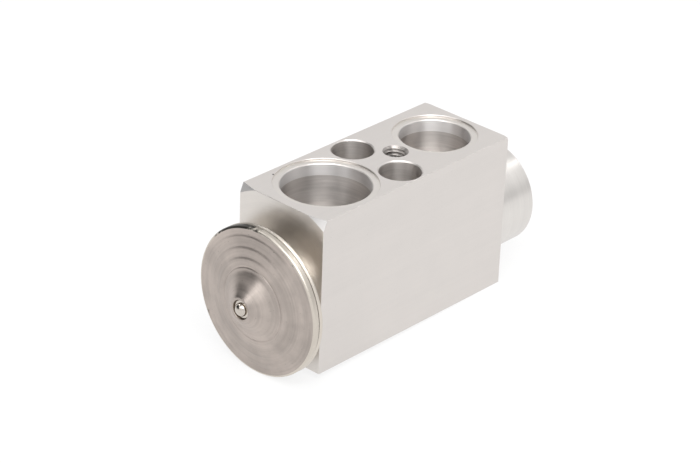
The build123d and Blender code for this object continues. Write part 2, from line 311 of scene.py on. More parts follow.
@dataclass(frozen=True)
class MetalFinish:
    """A bare metal face with the marks of its last tool.

    Attributes:
        name: the material's name.
        colour: its colour, as sRGB from 0 to 1.
        roughness: lowest and highest roughness.
        lay: the way that the tool marks run.
        spacing: distance between marks, in mm.
        depth: how strongly the marks tilt the surface.
        tone: how much the marks darken and lighten the colour.
        cloud: how much handling darkens and lightens it.
        stretch: how far the marks draw highlights out across themselves.
        speck: how much small specks darken it.
        spots: dark spots, both worn marks and stains and a painted dark reflection.
    """

    name: str
    colour: Point
    roughness: tuple[float, float] = (0.25, 0.4)
    lay: Lay = Lay.LENGTHWISE
    spacing: float = 0.35
    depth: float = 0.15
    tone: float = 0.05
    cloud: float = 0.04
    stretch: float = 0.5
    speck: float = 0.06
    spots: tuple[WearAndShadeSpot, ...] = ()

    def lines(self, graph: Graph, position: Socket) -> tuple[Socket, Socket]:
        """Coordinate across the tool marks, and the direction across them.

        Args:
            graph: the material's graph.
            position: the object coordinates.

        Returns:
            The coordinate in metres, and the direction.
        """
        x, y, z = graph.add("ShaderNodeSeparateXYZ", {0: position}).outputs
        if self.lay is Lay.TURNED:
            return x, graph.combine(X=1.0)
        if self.lay is Lay.BORED:
            return z, graph.combine(Z=1.0)
        if self.lay is Lay.LENGTHWISE:
            normal = graph.add("ShaderNodeNewGeometry").outputs["Normal"]
            return graph.math("ADD", y, z), graph.vector("CROSS_PRODUCT", {0: normal, 1: (1.0, 0.0, 0.0)})
        spoke = graph.combine(Y=y, Z=graph.math("SUBTRACT", z, AXIS_HEIGHT * MM))
        return graph.vector("LENGTH", {0: spoke}, "Value"), spoke

    def brightness(self, graph: Graph, position: Socket, marks: dict, tone: Socket) -> Socket:
        """Brightness of the colour over the surface.

        Args:
            graph: the material's graph.
            position: the object coordinates.
            marks: outputs of the handling group.
            tone: the tool lines' tone.

        Returns:
            A factor near 1.
        """
        value = graph.between(tone, 1.0 - self.tone, 1.0 + self.tone)
        cloud = graph.between(marks["Cloud"], 1.0 - self.cloud, 1.0 + self.cloud)
        value = graph.math("MULTIPLY", value, cloud)
        value = graph.math("MULTIPLY", value, graph.between(marks["Speck"], 1.0, 1.0 - self.speck))
        # Dark spots: worn marks and stains, and on the rim's edge a painted dark reflection.
        for spot in self.spots:
            place = {"Position": position, "Centre": [c * MM for c in spot.centre], "Size": spot.size * MM}
            mask = graph.group(spot_group(), place)["Mask"]
            value = graph.math("MULTIPLY", value, graph.between(mask, 1.0, spot.tone))
        return value

    def material(self) -> bpy.types.Material:
        """Build the material.

        Returns:
            The finished material.
        """
        if self.name in bpy.data.materials:
            return bpy.data.materials[self.name]
        material, graph, shader = blank_material(self.name)
        position = graph.add("ShaderNodeTexCoord").outputs["Object"]
        across, over = self.lines(graph, position)
        cut = {
            "Across": across,
            "Position": position,
            "Spacing": self.spacing * MM,
            "Drift": STRAIGHT if self.lay is Lay.LENGTHWISE else WAVY,
            "Seed": float(len(self.name)),
        }
        lines = graph.group(tool_lines_group(), cut)
        marks = graph.group(handling_group(), {"Position": position})
        value = self.brightness(graph, position, marks, lines["Tone"])
        tinted = graph.out("ShaderNodeHueSaturation", {"Value": value, "Color": linear(self.colour)})
        mixed = graph.math("MULTIPLY", graph.math("ADD", lines["Tone"], marks["Cloud"]), 0.5)
        ridges = {"Strength": self.depth, "Distance": BUMP, "Height": lines["Height"]}
        graph.join(tinted, shader.inputs["Base Color"])
        graph.join(graph.between(mixed, *self.roughness), shader.inputs["Roughness"])
        graph.join(graph.out("ShaderNodeBump", ridges), shader.inputs["Normal"])
        graph.join(over, shader.inputs["Tangent"])
        shader.inputs["Anisotropic"].default_value = self.stretch
        shader.inputs["Metallic"].default_value = 1.0
        return material


@dataclass(frozen=True)
class SoftFinish:
    """Rubber or plastic.

    Attributes:
        name: the material's name.
        colour: its colour, as sRGB from 0 to 1.
        roughness: lowest and highest roughness.
        grain: size of the moulded grain, in mm.
        tone: how much the grain darkens and lightens the colour.
    """

    name: str
    colour: Point
    roughness: tuple[float, float] = (0.45, 0.65)
    grain: float = 0.25
    tone: float = 0.15

    def material(self) -> bpy.types.Material:
        """Build the material.

        Returns:
            The finished material.
        """
        if self.name in bpy.data.materials:
            return bpy.data.materials[self.name]
        material, graph, shader = blank_material(self.name)
        position = graph.add("ShaderNodeTexCoord").outputs["Object"]
        noise = graph.noise(position, 1 / (self.grain * MM), 3.0)
        value = graph.between(noise, 1.0 - self.tone, 1.0 + self.tone)
        tone = {"Value": value, "Color": linear(self.colour)}
        grain = {"Strength": 0.2, "Distance": BUMP, "Height": noise}
        graph.join(graph.out("ShaderNodeHueSaturation", tone), shader.inputs["Base Color"])
        graph.join(graph.between(noise, *self.roughness), shader.inputs["Roughness"])
        graph.join(graph.out("ShaderNodeBump", grain), shader.inputs["Normal"])
        return material


Finish = MetalFinish | SoftFinish

MILLED = MetalFinish(
    "milled aluminium", (0.852, 0.832, 0.817), (0.32, 0.42), Lay.LENGTHWISE, 0.9, 0.06, 0.02, 0.012, 0.3,
    spots=(WearAndShadeSpot((-24.3, 11.8, 41.8), 0.35, 0.15),),
)
FACED = MetalFinish(
    "faced aluminium", (0.86, 0.84, 0.82), (0.3, 0.4), Lay.FACED, 0.3, 0.06, 0.03, 0.02, 0.3
)
LATHED = MetalFinish(
    "turned aluminium", (0.87, 0.855, 0.84), (0.28, 0.4), Lay.TURNED, 0.3, 0.1, 0.04, 0.02, 0.5
)
BURNISHED = MetalFinish(
    "burnished bore", (0.925, 0.915, 0.91), (0.38, 0.48), Lay.BORED, 0.5, 0.1, 0.03, 0.02, 0.95
)
# Darker than the milled faces: partly the duller bored finish, partly painted shade inside the ports.
BORED = MetalFinish(
    "bored aluminium", (0.82, 0.80, 0.785), (0.36, 0.5), Lay.BORED, 0.5, 0.6, 0.14, 0.04, 0.9
)
# Darker than the milled faces: painted shade inside the bolt holes.
DRILLED = MetalFinish(
    "drilled aluminium", (0.80, 0.78, 0.765), (0.34, 0.46), Lay.BORED, 0.4, 0.6, 0.14, 0.04, 0.9
)
# Much darker than the other aluminium: painted shade inside the tapped hole.
TAPPED = MetalFinish(
    "tapped aluminium", (0.65, 0.63, 0.615), (0.3, 0.42), Lay.BORED, 0.5, 0.2, 0.1, 0.05, 0.6
)
COVER = MetalFinish(
    "stamped steel", (0.714, 0.675, 0.648), (0.3, 0.5), Lay.FACED, 0.45, 0.16, 0.14, 0.13, 0.5, 0.35,
    (WearAndShadeSpot((-41.5, -12.0, 32.4), 0.7, 0.45), WearAndShadeSpot((-41.6, 16.6, 8.3), 0.8, 0.6)),
)
RIM = MetalFinish(
    "bright steel edge", (0.84, 0.81, 0.77), (0.26, 0.36), Lay.TURNED, 0.2, 0.03, 0.04, 0.03, 0.2
)
HOUSING = MetalFinish("turned steel", (0.80, 0.775, 0.74), (0.22, 0.34), Lay.FACED, 0.3, 0.15, 0.05, 0.03)
PLUG = MetalFinish(
    "bright plug steel", (0.80, 0.77, 0.735), (0.16, 0.26), Lay.FACED, 0.4, 0.04, 0.04, 0.05, 0.3
)
# The edge finish's large dark spot is a painted dark reflection along the top-left of the cover's rim.
EDGE = MetalFinish(
    "stained steel edge", (0.82, 0.79, 0.75), (0.34, 0.42), Lay.TURNED, 0.2, 0.0, 0.04, 0.05, 0.0, 0.2,
    (WearAndShadeSpot((-41.0, 8.0, 35.1), 9.2, 0.1),),
)
# Darker than the cover: painted shade inside the recess round the plug.
RECESS = MetalFinish(
    "dull plug recess", (0.64, 0.60, 0.56), (0.3, 0.45), Lay.FACED, 0.3, 0.1, 0.1, 0.1, 0.3
)
GROUND = MetalFinish("ground steel", (0.72, 0.72, 0.73), (0.14, 0.24), Lay.TURNED, 0.15, 0.06, 0.05, 0.03)
SPRING = MetalFinish(
    "spring steel", (0.62, 0.61, 0.60), (0.25, 0.4), Lay.TURNED, 0.3, 0.10, 0.08, 0.05, 0.2
)
CARRIER = MetalFinish("carrier steel", (0.66, 0.65, 0.64), (0.25, 0.4), Lay.TURNED, 0.3, 0.15, 0.06, 0.04)
ROD = MetalFinish("rod aluminium", (0.80, 0.79, 0.78), (0.25, 0.38), Lay.TURNED, 0.25, 0.15, 0.06, 0.03)
BRASS = MetalFinish("turned brass", (0.80, 0.68, 0.42), (0.22, 0.36), Lay.TURNED, 0.25, 0.15, 0.06, 0.04)
BRASS_FACE = MetalFinish("faced brass", (0.80, 0.68, 0.42), (0.22, 0.36), Lay.FACED, 0.25, 0.15, 0.06, 0.04)
RUBBER = SoftFinish("seal rubber", (0.10, 0.12, 0.10))
SLEEVE = SoftFinish("sleeve plastic", (0.16, 0.16, 0.17), (0.35, 0.5))


# Turned and bored forms


class Corner(NamedTuple):
    """One corner of a turned outline: place along the line, radius, rounding, all in mm, and skin.

    The skin is the material place of the stretch that follows this corner.
    """

    along: float
    radius: float
    round: float = 0.0
    skin: int = 0


def rounded(rows: list[Row], closed: bool) -> list[Corner]:
    """Replace the corners that are rounded by short arcs.

    Args:
        rows: the outline's corners, in order.
        closed: whether the last corner joins the first, and not the line of rotation.

    Returns:
        Plain corners along the rounded outline.
    """
    corners = [Corner(*row) for row in rows]
    points: list[Corner] = []
    for index, corner in enumerate(corners):
        here = Vector(corner[:2])
        if corner.round <= 0 or (not closed and index in (0, len(corners) - 1)):
            points.append(corner)
            continue
        before, after = corners[index - 1], corners[(index + 1) % len(corners)]
        back, ahead = Vector(before[:2]) - here, Vector(after[:2]) - here
        half = back.angle(ahead) / 2
        reach = min(corner.round / math.tan(half), back.length * SHARE, ahead.length * SHARE)
        radius = reach * math.tan(half)
        back, ahead = back.normalized(), ahead.normalized()
        start, finish = here + back * reach, here + ahead * reach
        middle = here + (back + ahead).normalized() * radius / math.sin(half)
        turn = (start - middle).angle_signed(finish - middle)
        for step in range(ARC_STEPS + 1):
            spoke = start - middle
            spoke.rotate(Matrix.Rotation(-turn * step / ARC_STEPS, 2))
            skin = before.skin if step < ARC_STEPS / 2 else corner.skin
            points.append(Corner(middle.x + spoke.x, middle.y + spoke.y, 0.0, skin))
    return points


def finished(name: str, mesh: bmesh.types.BMesh | None = None) -> Object:
    """Turn a bmesh into an object in the scene.

    Args:
        name: the object's name.
        mesh: the shape, which is freed; without it the object is empty.

    Returns:
        The new object, at the origin.
    """
    data = bpy.data.meshes.new(name)
    if mesh is not None:
        mesh.to_mesh(data)
        mesh.free()
    piece = bpy.data.objects.new(name, data)
    bpy.context.scene.collection.objects.link(piece)
    return piece


def spin(
    name: str,
    rows: list[Row],
    line: Line = Line.VALVE,
    centre: tuple[float, float] = (0.0, 0.0),
    segments: int = 160,
) -> Object:
    """Spin an outline into a closed solid.

    Args:
        name: the object's name.
        rows: the outline's corners; it ends on the line of rotation, or closes on itself as a ring.
        line: the valve's axis, or an upright line.
        centre: x and y of an upright line, in mm.
        segments: number of steps round.

    Returns:
        The new object, at the origin.
    """
    on_line = rows[0][1] == 0 and rows[-1][1] == 0
    points = rounded(rows, closed=not on_line)
    mesh = bmesh.new()
    rings: list[list[bmesh.types.BMVert]] = []
    for point in points:
        ring = []
        for step in range(1 if point.radius == 0 else segments):
            angle = 2 * math.pi * step / segments
            side, rise = point.radius * math.cos(angle), point.radius * math.sin(angle)
            if line is Line.VALVE:
                place = (point.along, side, rise + AXIS_HEIGHT)
            else:
                place = (centre[0] + side, centre[1] + rise, point.along)
            ring.append(mesh.verts.new(Vector(place) * MM))
        rings.append(ring)
    for index in range(len(points) - 1 if on_line else len(points)):
        first, second = rings[index], rings[(index + 1) % len(rings)]
        for step in range(0 if len(first) == len(second) == 1 else segments):
            after = (step + 1) % segments
            if len(first) == 1:
                loop = (first[0], second[after], second[step])
            elif len(second) == 1:
                loop = (first[step], first[after], second[0])
            else:
                loop = (first[step], first[after], second[after], second[step])
            mesh.faces.new(loop).material_index = points[index].skin
    bmesh.ops.recalc_face_normals(mesh, faces=mesh.faces)
    return finished(name, mesh)


def bake(piece: Object) -> None:
    """Turn a piece's modifiers into plain mesh and remove them.

    Args:
        piece: the object.
    """
    bpy.context.view_layer.update()
    evaluated = piece.evaluated_get(bpy.context.evaluated_depsgraph_get())
    data = bpy.data.meshes.new_from_object(evaluated)
    piece.modifiers.clear()
    old = piece.data
    piece.data = data
    bpy.data.meshes.remove(old)
    data.name = piece.name


def carve(piece: Object, tools: list[tuple[Object, str]]) -> None:
    """Cut, join or trim a piece with solids, which are used up.

    Args:
        piece: the piece.
        tools: each solid and its operation, in order.
    """
    for tool, operation in tools:
        step = piece.modifiers.new(tool.name, "BOOLEAN")
        step.operation = operation
        step.object = tool
        step.solver = "EXACT"
        step.material_mode = "INDEX"
    bake(piece)
    for tool, _operation in tools:
        bpy.data.objects.remove(tool)


def weld(piece: Object) -> None:
    """Merge doubles and turn all faces outwards.

    Args:
        piece: the object.
    """
    mesh = bmesh.new()
    mesh.from_mesh(piece.data)
    bmesh.ops.remove_doubles(mesh, verts=mesh.verts, dist=DOUBLE * MM)
    bmesh.ops.recalc_face_normals(mesh, faces=mesh.faces)
    mesh.to_mesh(piece.data)
    mesh.free()


def paint(piece: Object, finishes: list[Finish]) -> None:
    """Put finishes on a mesh's material places.

    Args:
        piece: the object.
        finishes: one for each place, in order.
    """
    for place, finish in enumerate(finishes):
        if place < len(piece.data.materials):
            piece.data.materials[place] = finish.material()
        else:
            piece.data.materials.append(finish.material())


class Span(NamedTuple):
    """Two bodies that a piece reaches between, and the x in mm given for each."""

    first: Body
    start: float
    last: Body
    end: float


class Role(NamedTuple):
    """What a piece is: the body it moves with or the span it lies in, the record's material slot, the CAD
    node.
    """

    body: Body | Span
    slot: str
    node: str


def dress(piece: Object, finishes: list[Finish], role: Role, angle: float = 30.0) -> None:
    """Shade and paint a finished piece, put it on its body unless it spans two, and hide the CAD node that it
    stands for.

    Args:
        piece: the finished object.
        finishes: one for each material place.
        role: what the piece is.
        angle: edges sharper than this many degrees stay sharp; curved faces are shaded smooth.
    """
    piece.data.shade_smooth()
    piece.data.set_sharp_from_angle(angle=math.radians(angle))
    weights = piece.modifiers.new("flat faces lead", "WEIGHTED_NORMAL")
    weights.keep_sharp = True
    bake(piece)
    paint(piece, finishes)
    body = role.body
    if isinstance(body, Span):
        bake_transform(piece)
        where = f"between {body.first.value} and {body.last.value}"
    else:
        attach(piece, body.value)
        where = f"on {body.value}"
    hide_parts(role.node)
    LOG.info("%s: %d faces %s", piece.name, len(piece.data.polygons), where)


def turned_piece(
    name: str, rows: list[Row], finishes: list[Finish], role: Role, segments: int = 128, angle: float = 30.0
) -> None:
    """Spin and dress a piece in one go.

    Args:
        name: the object's name.
        rows: its outline about the valve axis.
        finishes: one for each skin.
        role: what the piece is.
        segments: number of steps round.
        angle: edges sharper than this many degrees stay sharp.
    """
    dress(spin(name, rows, segments=segments), finishes, role, angle)


def rubber_ring(name: str, along: float, radius: float, section: float, body: Body, node: str) -> None:
    """Build an O-ring on the valve axis.

    Args:
        name: the piece's name.
        along: x of its middle plane, in mm.
        radius: radius of its centre line, in mm.
        section: diameter of its section, in mm.
        body: the group that it moves with.
        node: the CAD node that it stands for.
    """
    turns = [2 * math.pi * step / SECTION_STEPS for step in range(SECTION_STEPS)]
    rows = [(along + section / 2 * math.cos(a), radius + section / 2 * math.sin(a)) for a in turns]
    turned_piece(name, rows, [RUBBER], Role(body, "seal_rubber", node), segments=96, angle=60)


# Shapes that follow a rule


class ShapeTree:
    """A Geometry Nodes tree with named sizes, closed by Realize Instances and Set Material."""

    def __init__(self, name: str, inputs: dict[str, float | int]) -> None:
        """Open the tree.

        Args:
            name: the tree's name.
            inputs: default of each size or count, by name.
        """
        self.tree = bpy.data.node_groups.new(name, "GeometryNodeTree")
        face = self.tree.interface
        face.new_socket("Geometry", in_out="INPUT", socket_type="NodeSocketGeometry")
        for label, value in inputs.items():
            kind = "NodeSocketInt" if isinstance(value, int) else "NodeSocketFloat"
            face.new_socket(label, in_out="INPUT", socket_type=kind).default_value = value
        face.new_socket("Finish", in_out="INPUT", socket_type="NodeSocketMaterial")
        face.new_socket("Geometry", in_out="OUTPUT", socket_type="NodeSocketGeometry")
        self.graph = Graph(self.tree)
        self.sizes = self.graph.add("NodeGroupInput").outputs

    def position(self) -> tuple[Socket, Socket, Socket]:
        """Coordinates of the geometry's points."""
        place = self.graph.out("GeometryNodeInputPosition")
        return tuple(self.graph.add("ShaderNodeSeparateXYZ", {0: place}).outputs)

    def moved(self, shape: Socket, **axes: Socket) -> Socket:
        """Put the geometry's points at a new X, Y and Z."""
        place = self.graph.combine(**axes)
        return self.graph.out("GeometryNodeSetPosition", {"Geometry": shape, "Position": place})

    def close(self, shape: Socket, where: Socket | None = None) -> None:
        """End the tree.

        Args:
            shape: the geometry to put out.
            where: faces that take the finish; all of them by default.
        """
        real = self.graph.out("GeometryNodeRealizeInstances", {0: shape})
        inputs = {"Geometry": real, "Material": self.sizes["Finish"]}
        painted = self.graph.add("GeometryNodeSetMaterial", inputs)
        if where is not None:
            self.graph.join(where, painted.inputs["Selection"])
        self.graph.join(painted.outputs[0], self.graph.add("NodeGroupOutput").inputs[0])

    def grow(
        self, piece: Object, finish: Finish, lengths: dict[str, float], counts: dict[str, float] | None = None
    ) -> Object:
        """Run the tree on a piece and keep the result as plain mesh.

        Args:
            piece: the object.
            finish: the finish that the tree sets.
            lengths: values in mm of the tree's inputs, by name.
            counts: values of its other inputs, by name.

        Returns:
            The same object.
        """
        step = piece.modifiers.new(self.tree.name, "NODES")
        step.node_group = self.tree
        values = {name: value * MM for name, value in lengths.items()}
        values |= {**(counts or {}), "Finish": finish.material()}
        for item in self.tree.interface.items_tree:
            if item.in_out == "INPUT" and item.name in values:
                step[item.identifier] = values[item.name]
        bake(piece)
        return piece


@cache
def repeat_tree() -> ShapeTree:
    """Copies of a piece, evenly round the valve axis.

    Returns:
        A tree with the input Count.
    """
    shape = ShapeTree("repeat round the axis", {"Count": 6})
    graph, sizes = shape.graph, shape.sizes
    one = graph.out("GeometryNodeGeometryToInstance", {0: sizes["Geometry"]})
    several = {"Geometry": one, "Amount": sizes["Count"]}
    many = graph.add("GeometryNodeDuplicateElements", several, domain="INSTANCE").outputs
    share = graph.math("DIVIDE", many["Duplicate Index"], sizes["Count"])
    turn = graph.combine(X=graph.math("MULTIPLY", share, 2 * math.pi))
    centre = (0.0, 0.0, AXIS_HEIGHT * MM)
    around = {"Instances": many["Geometry"], "Rotation": turn, "Pivot Point": centre, "Local Space": False}
    shape.close(graph.out("GeometryNodeRotateInstances", around))
    return shape


@cache
def coil_tree() -> ShapeTree:
    """Round-wire spring with its ends closed and ground flat, from x = 0 along X.

    Returns:
        A tree with the spring's sizes, and From and To, the shares of the wire at which it starts and
        ends.
    """
    inputs = {"Length": 0.012, "Mean Radius": 0.005, "Wire Radius": 0.0007, "Turns": 5.0, "Closing": 0.45}
    shape = ShapeTree("coil spring", inputs | {"From": 0.0, "To": 1.0})
    graph, sizes = shape.graph, shape.sizes
    line = graph.out("GeometryNodeCurvePrimitiveLine", {"Start": (0.0, 0.0, 0.0), "End": (1.0, 0.0, 0.0)})
    dots = graph.out("GeometryNodeResampleCurve", {"Curve": line, "Count": 141})
    factor = graph.add("GeometryNodeSplineParameter").outputs["Factor"]
    part = graph.math("MULTIPLY", factor, graph.math("SUBTRACT", sizes["To"], sizes["From"]))
    share = graph.math("ADD", part, sizes["From"])
    circle = graph.math("MULTIPLY", share, 2 * math.pi)
    angle = graph.math("MULTIPLY", circle, sizes["Turns"])
    wave = graph.math("MULTIPLY", graph.math("SINE", circle), sizes["Closing"])
    ease = graph.math("DIVIDE", wave, 2 * math.pi)
    climb = graph.math("MULTIPLY", graph.math("SUBTRACT", share, ease), sizes["Length"])
    side = graph.math("MULTIPLY", graph.math("COSINE", angle), sizes["Mean Radius"])
    rise = graph.math("MULTIPLY", graph.math("SINE", angle), sizes["Mean Radius"])
    path = shape.moved(dots, X=climb, Y=side, Z=rise)
    section = {"Resolution": SECTION_STEPS, "Radius": sizes["Wire Radius"]}
    wire = graph.out("GeometryNodeCurvePrimitiveCircle", section)
    sweep = {"Curve": path, "Profile Curve": wire, "Fill Caps": True}
    coil = graph.out("GeometryNodeCurveToMesh", sweep)
    x, y, z = shape.position()
    ground = graph.math("MINIMUM", graph.math("MAXIMUM", x, 0.0), sizes["Length"])
    shape.close(shape.moved(coil, X=ground, Y=y, Z=z))
    return shape


@cache
def thread_tree() -> ShapeTree:
    """Threaded bar along Z from z = 0, with an optional countersink cone at its upper end.

    Returns:
        A tree with sizes for the thread and the cone, and the two resolutions.
    """
    inputs = {"Root Radius": 0.0025, "Thread Depth": 0.0005, "Pitch": 0.001, "Length": 0.012}
    inputs |= {"Sink Radius": 0.0, "Over": 0.001, "Steps Round": 96, "Steps Along": 200}
    shape = ShapeTree("threaded bar", inputs)
    graph, sizes = shape.graph, shape.sizes
    counts = {"Vertices": sizes["Steps Round"], "Side Segments": sizes["Steps Along"]}
    lengths = {"Radius": 1.0, "Depth": sizes["Length"]}
    tube = graph.out("GeometryNodeMeshCylinder", counts | lengths, fill_type="NGON")
    x, y, z = shape.position()
    along = graph.math("ADD", z, graph.math("MULTIPLY", sizes["Length"], 0.5))
    turn = graph.math("DIVIDE", graph.math("ARCTAN2", y, x), 2 * math.pi)
    lag = graph.math("SUBTRACT", graph.math("DIVIDE", along, sizes["Pitch"]), turn)
    phase = graph.math("FRACT", lag)
    saw = graph.math("ABSOLUTE", graph.math("SUBTRACT", graph.math("MULTIPLY", phase, 2.0), 1.0))
    steepness, root_width = 1.35, 0.2
    blunt = graph.math("SUBTRACT", graph.math("MULTIPLY", saw, steepness), root_width)
    crest = graph.math("MINIMUM", graph.math("MAXIMUM", blunt, 0.0), 1.0)
    thread = graph.math("ADD", graph.math("MULTIPLY", crest, sizes["Thread Depth"]), sizes["Root Radius"])
    mouth = graph.math("SUBTRACT", sizes["Length"], sizes["Over"])
    below = graph.math("MAXIMUM", graph.math("SUBTRACT", mouth, along), 0.0)
    radius = graph.math("MAXIMUM", thread, graph.math("SUBTRACT", sizes["Sink Radius"], below))
    side, rise = graph.math("MULTIPLY", x, radius), graph.math("MULTIPLY", y, radius)
    shape.close(shape.moved(tube, X=side, Y=rise, Z=along))
    return shape


@cache
def pressing_tree() -> ShapeTree:
    """Three concentric steps pressed forward, along -X, into a round sheet.

    Returns:
        A tree with the three radii, the steps' width and rise, and the radii of the pressed face.
    """
    radii = ["First Radius", "Second Radius", "Third Radius"]
    inputs = {name: 0.01 for name in radii} | {"Step Width": 0.0005, "Step Rise": 0.00025}
    shape = ShapeTree("pressed steps", inputs | {"Hub Radius": 0.0025, "Face Radius": 0.018})
    graph, sizes = shape.graph, shape.sizes
    x, y, z = shape.position()
    spoke = graph.combine(Y=y, Z=graph.math("SUBTRACT", z, AXIS_HEIGHT * MM))
    radius = graph.vector("LENGTH", {0: spoke}, "Value")
    half = graph.math("MULTIPLY", sizes["Step Width"], 0.5)
    total: float | Socket = 0.0
    for name in radii:
        outer, inner = graph.math("ADD", sizes[name], half), graph.math("SUBTRACT", sizes[name], half)
        total = graph.math("ADD", total, graph.ramp(radius, outer, inner))
    forward = graph.math("SUBTRACT", x, graph.math("MULTIPLY", total, sizes["Step Rise"]))
    pressed = shape.moved(sizes["Geometry"], X=forward, Y=y, Z=z)
    outside_hub = graph.math("GREATER_THAN", radius, sizes["Hub Radius"])
    inside_rim = graph.math("LESS_THAN", radius, sizes["Face Radius"])
    shape.close(pressed, graph.math("MULTIPLY", outside_hub, inside_rim))
    return shape


def thread_bar(name: str, finish: Finish, place: Matrix, lengths: Row, steps: tuple[int, int]) -> Object:
    """Make a threaded bar.

    Args:
        name: the object's name.
        finish: its finish.
        place: where its lower end goes and how it is turned.
        lengths: root radius, thread depth, length, cone's radius and run-out, in mm.
        steps: steps round and steps along.

    Returns:
        The bar.
    """
    labels = ("Root Radius", "Thread Depth", "Length", "Sink Radius", "Over")
    sizes = {**dict(zip(labels, lengths)), "Pitch": PITCH}
    counts = dict(zip(("Steps Round", "Steps Along"), steps))
    bar = thread_tree().grow(finished(name), finish, sizes, counts)
    bar.data.transform(place)
    return bar


def on_axis(x: float) -> Matrix:
    """Move to a place on the valve axis, x in mm."""
    return Matrix.Translation(Vector((x, 0, AXIS_HEIGHT)) * MM)


# Block

BLOCK_SKINS = [MILLED, FACED, LATHED, BURNISHED, BORED, TAPPED, DRILLED]
MILL, FACE, LATHE, BURNISH, BORE, TAP, DRILL = range(len(BLOCK_SKINS))


@dataclass
class ValveBlock:
    """The aluminium block with its boss, ports, passages and holes. Sizes in mm."""

    head_face: float = -33.5
    far_face: float = 34.1
    width: float = 28.0
    height: float = 41.8
    edge: float = 0.15
    end_cosine: float = 0.7
    facet_radius: float = 25.8
    far_facet_radius: float = 27.2
    facet_reach: float = 31.0
    facet_angle: float = 27.0
    boss_radius: float = 13.95
    boss_length: float = 13.0
    boss_chamfer: float = 0.9
    suction_x: float = -18.0
    suction_radius: float = 11.35
    suction_depth: float = 13.5
    liquid_x: float = 21.8
    liquid_radius: float = 9.1
    liquid_depth: float = 10.5
    ring_width: float = 1.8
    ring_depth: float = 0.5
    ring_lip: float = 0.12
    ring_bevel: float = 0.25
    burnished_depth: float = 3.7
    band_run: float = 0.5
    band_step: float = 0.04
    wall_inset: float = 0.05
    far_bevel: float = 0.4
    passage_radius: float = 8.75
    passage_bevel: float = 0.2
    return_radius: float = 10.35
    return_depth: float = 7.5
    feed_x: float = 15.0
    feed_radius: float = 7.7
    feed_depth: float = 7.5
    outlet_x: float = 11.5
    outlet_radius: float = 3.5
    outlet_overlap: float = 0.5
    drill_radius: float = 4.0
    drill_bevel: float = 0.3
    bolt_y: float = 8.0
    bolt_radius: float = 3.3
    bolt_bevel: float = 0.3
    bolt_head_radius: float = 5.35
    bolt_head_depth: float = 8.0
    stud_x: float = 7.1
    stud_radius: float = 2.5
    stud_thread: float = 0.5
    stud_sink_radius: float = 3.3
    stud_depth: float = 13.0
    stud_point: float = 1.5
    neck_radius: float = 9.05
    neck_depth: float = 4.5
    seal_recess_radius: float = 10.9
    seal_recess_depth: float = 1.5
    head_bore_radius: float = 5.3
    guide_radius: float = 1.25
    pocket_radius: float = 3.9
    pocket_end: float = -4.85
    orifice_radius: float = 1.6
    seat_radius: float = 2.1
    seat_x: float = 17.2
    seat_run: float = 0.5
    chamber_radius: float = 6.6
    chamber_thread: float = 0.3
    chamber_thread_x: float = 40.5
    chamber_sink: float = 0.7

    @property
    def boss_end(self) -> float:
        """X of the boss's end."""
        return self.far_face + self.boss_length

    def stock(self) -> Object:
        """Milled bar with its edges broken.

        Returns:
            The bar, its ends marked as faced.
        """
        mesh = bmesh.new()
        bmesh.ops.create_cube(mesh, size=1.0)
        length = self.far_face - self.head_face
        middle = Matrix.Translation((self.head_face + length / 2, 0, self.height / 2))
        size = Matrix.Diagonal((length, self.width, self.height, 1.0))
        bmesh.ops.transform(mesh, matrix=Matrix.Scale(MM, 4) @ middle @ size, verts=mesh.verts)
        bevel = {"offset": self.edge * MM, "segments": 4, "profile": 0.5, "affect": "EDGES"}
        bmesh.ops.bevel(mesh, geom=mesh.edges[:], clamp_overlap=True, **bevel)
        for face in mesh.faces:
            face.material_index = FACE if abs(face.normal.x) > self.end_cosine else MILL
        return finished("machined_block", mesh)

    def turned_tools(self) -> list[tuple[Object, str]]:
        """Space that the lathe leaves, with cones that trim the far corners, and the boss.

        Returns:
            The two solids and their operations.
        """
        slope = math.tan(math.radians(self.facet_angle))
        near, far, reach = self.facet_radius, self.far_facet_radius, self.facet_reach
        start, end = self.head_face - OVER, self.far_face + OVER
        facing = [
            (start, 0, 0, FACE), (start, near - OVER / slope, 0, BURNISH),
            (self.head_face + (reach - near) * slope, reach, 0, FACE),
            (self.far_face - (reach - far) * slope, reach, 0, BURNISH), (end, far - OVER / slope, 0, FACE),
            (end, 0, 0, FACE),
        ]
        root = self.far_face - CLEAR
        boss = [
            (root, 0, 0, LATHE), (root, self.boss_radius, 0, LATHE),
            (self.boss_end - self.boss_chamfer, self.boss_radius, 0.25, LATHE),
            (self.boss_end, self.boss_radius - self.boss_chamfer, 0.25, FACE), (self.boss_end, 0, 0, FACE),
        ]
        solids = [spin("block_facing", facing, segments=256), spin("block_boss", boss, segments=256)]
        return list(zip(solids, ("INTERSECT", "UNION")))

    def mouth(self, radius: float) -> list[Row]:
        """Outline of a pipe-side port from above its ring down to the end of its burnished band.

        Args:
            radius: the port's radius.

        Returns:
            The corners, from the line of rotation outwards and down.
        """
        top, ring = self.height, radius + self.ring_width
        step, band = top - self.ring_depth, top - self.burnished_depth
        lip, bevel = self.ring_lip, self.ring_bevel
        return [
            (top + CLEAR, 0), (top + CLEAR, ring + lip), (top + HAIR, ring + lip),
            (top - lip, ring, 0.05, FACE), (step, ring, 0.06, FACE), (step, radius + bevel, 0.1),
            (step - bevel, radius, 0.15, BURNISH), (band, radius, 0, BORE),
            (band - self.band_run, radius - self.band_step, 0, BORE),
        ]

    def far_mouth(self, radius: float, depth: float) -> list[Row]:
        """Outline of an evaporator-side port, from its floor down and out.

        Args:
            radius: the port's radius.
            depth: the port's depth.

        Returns:
            The corners, ending on the line of rotation.
        """
        bevel = self.far_bevel
        wall = [(depth, radius, 0.3, BURNISH), (bevel, radius, 0.15, BURNISH)]
        return [*wall, (-HAIR, radius + bevel), (-CLEAR, radius + bevel), (-CLEAR, 0)]

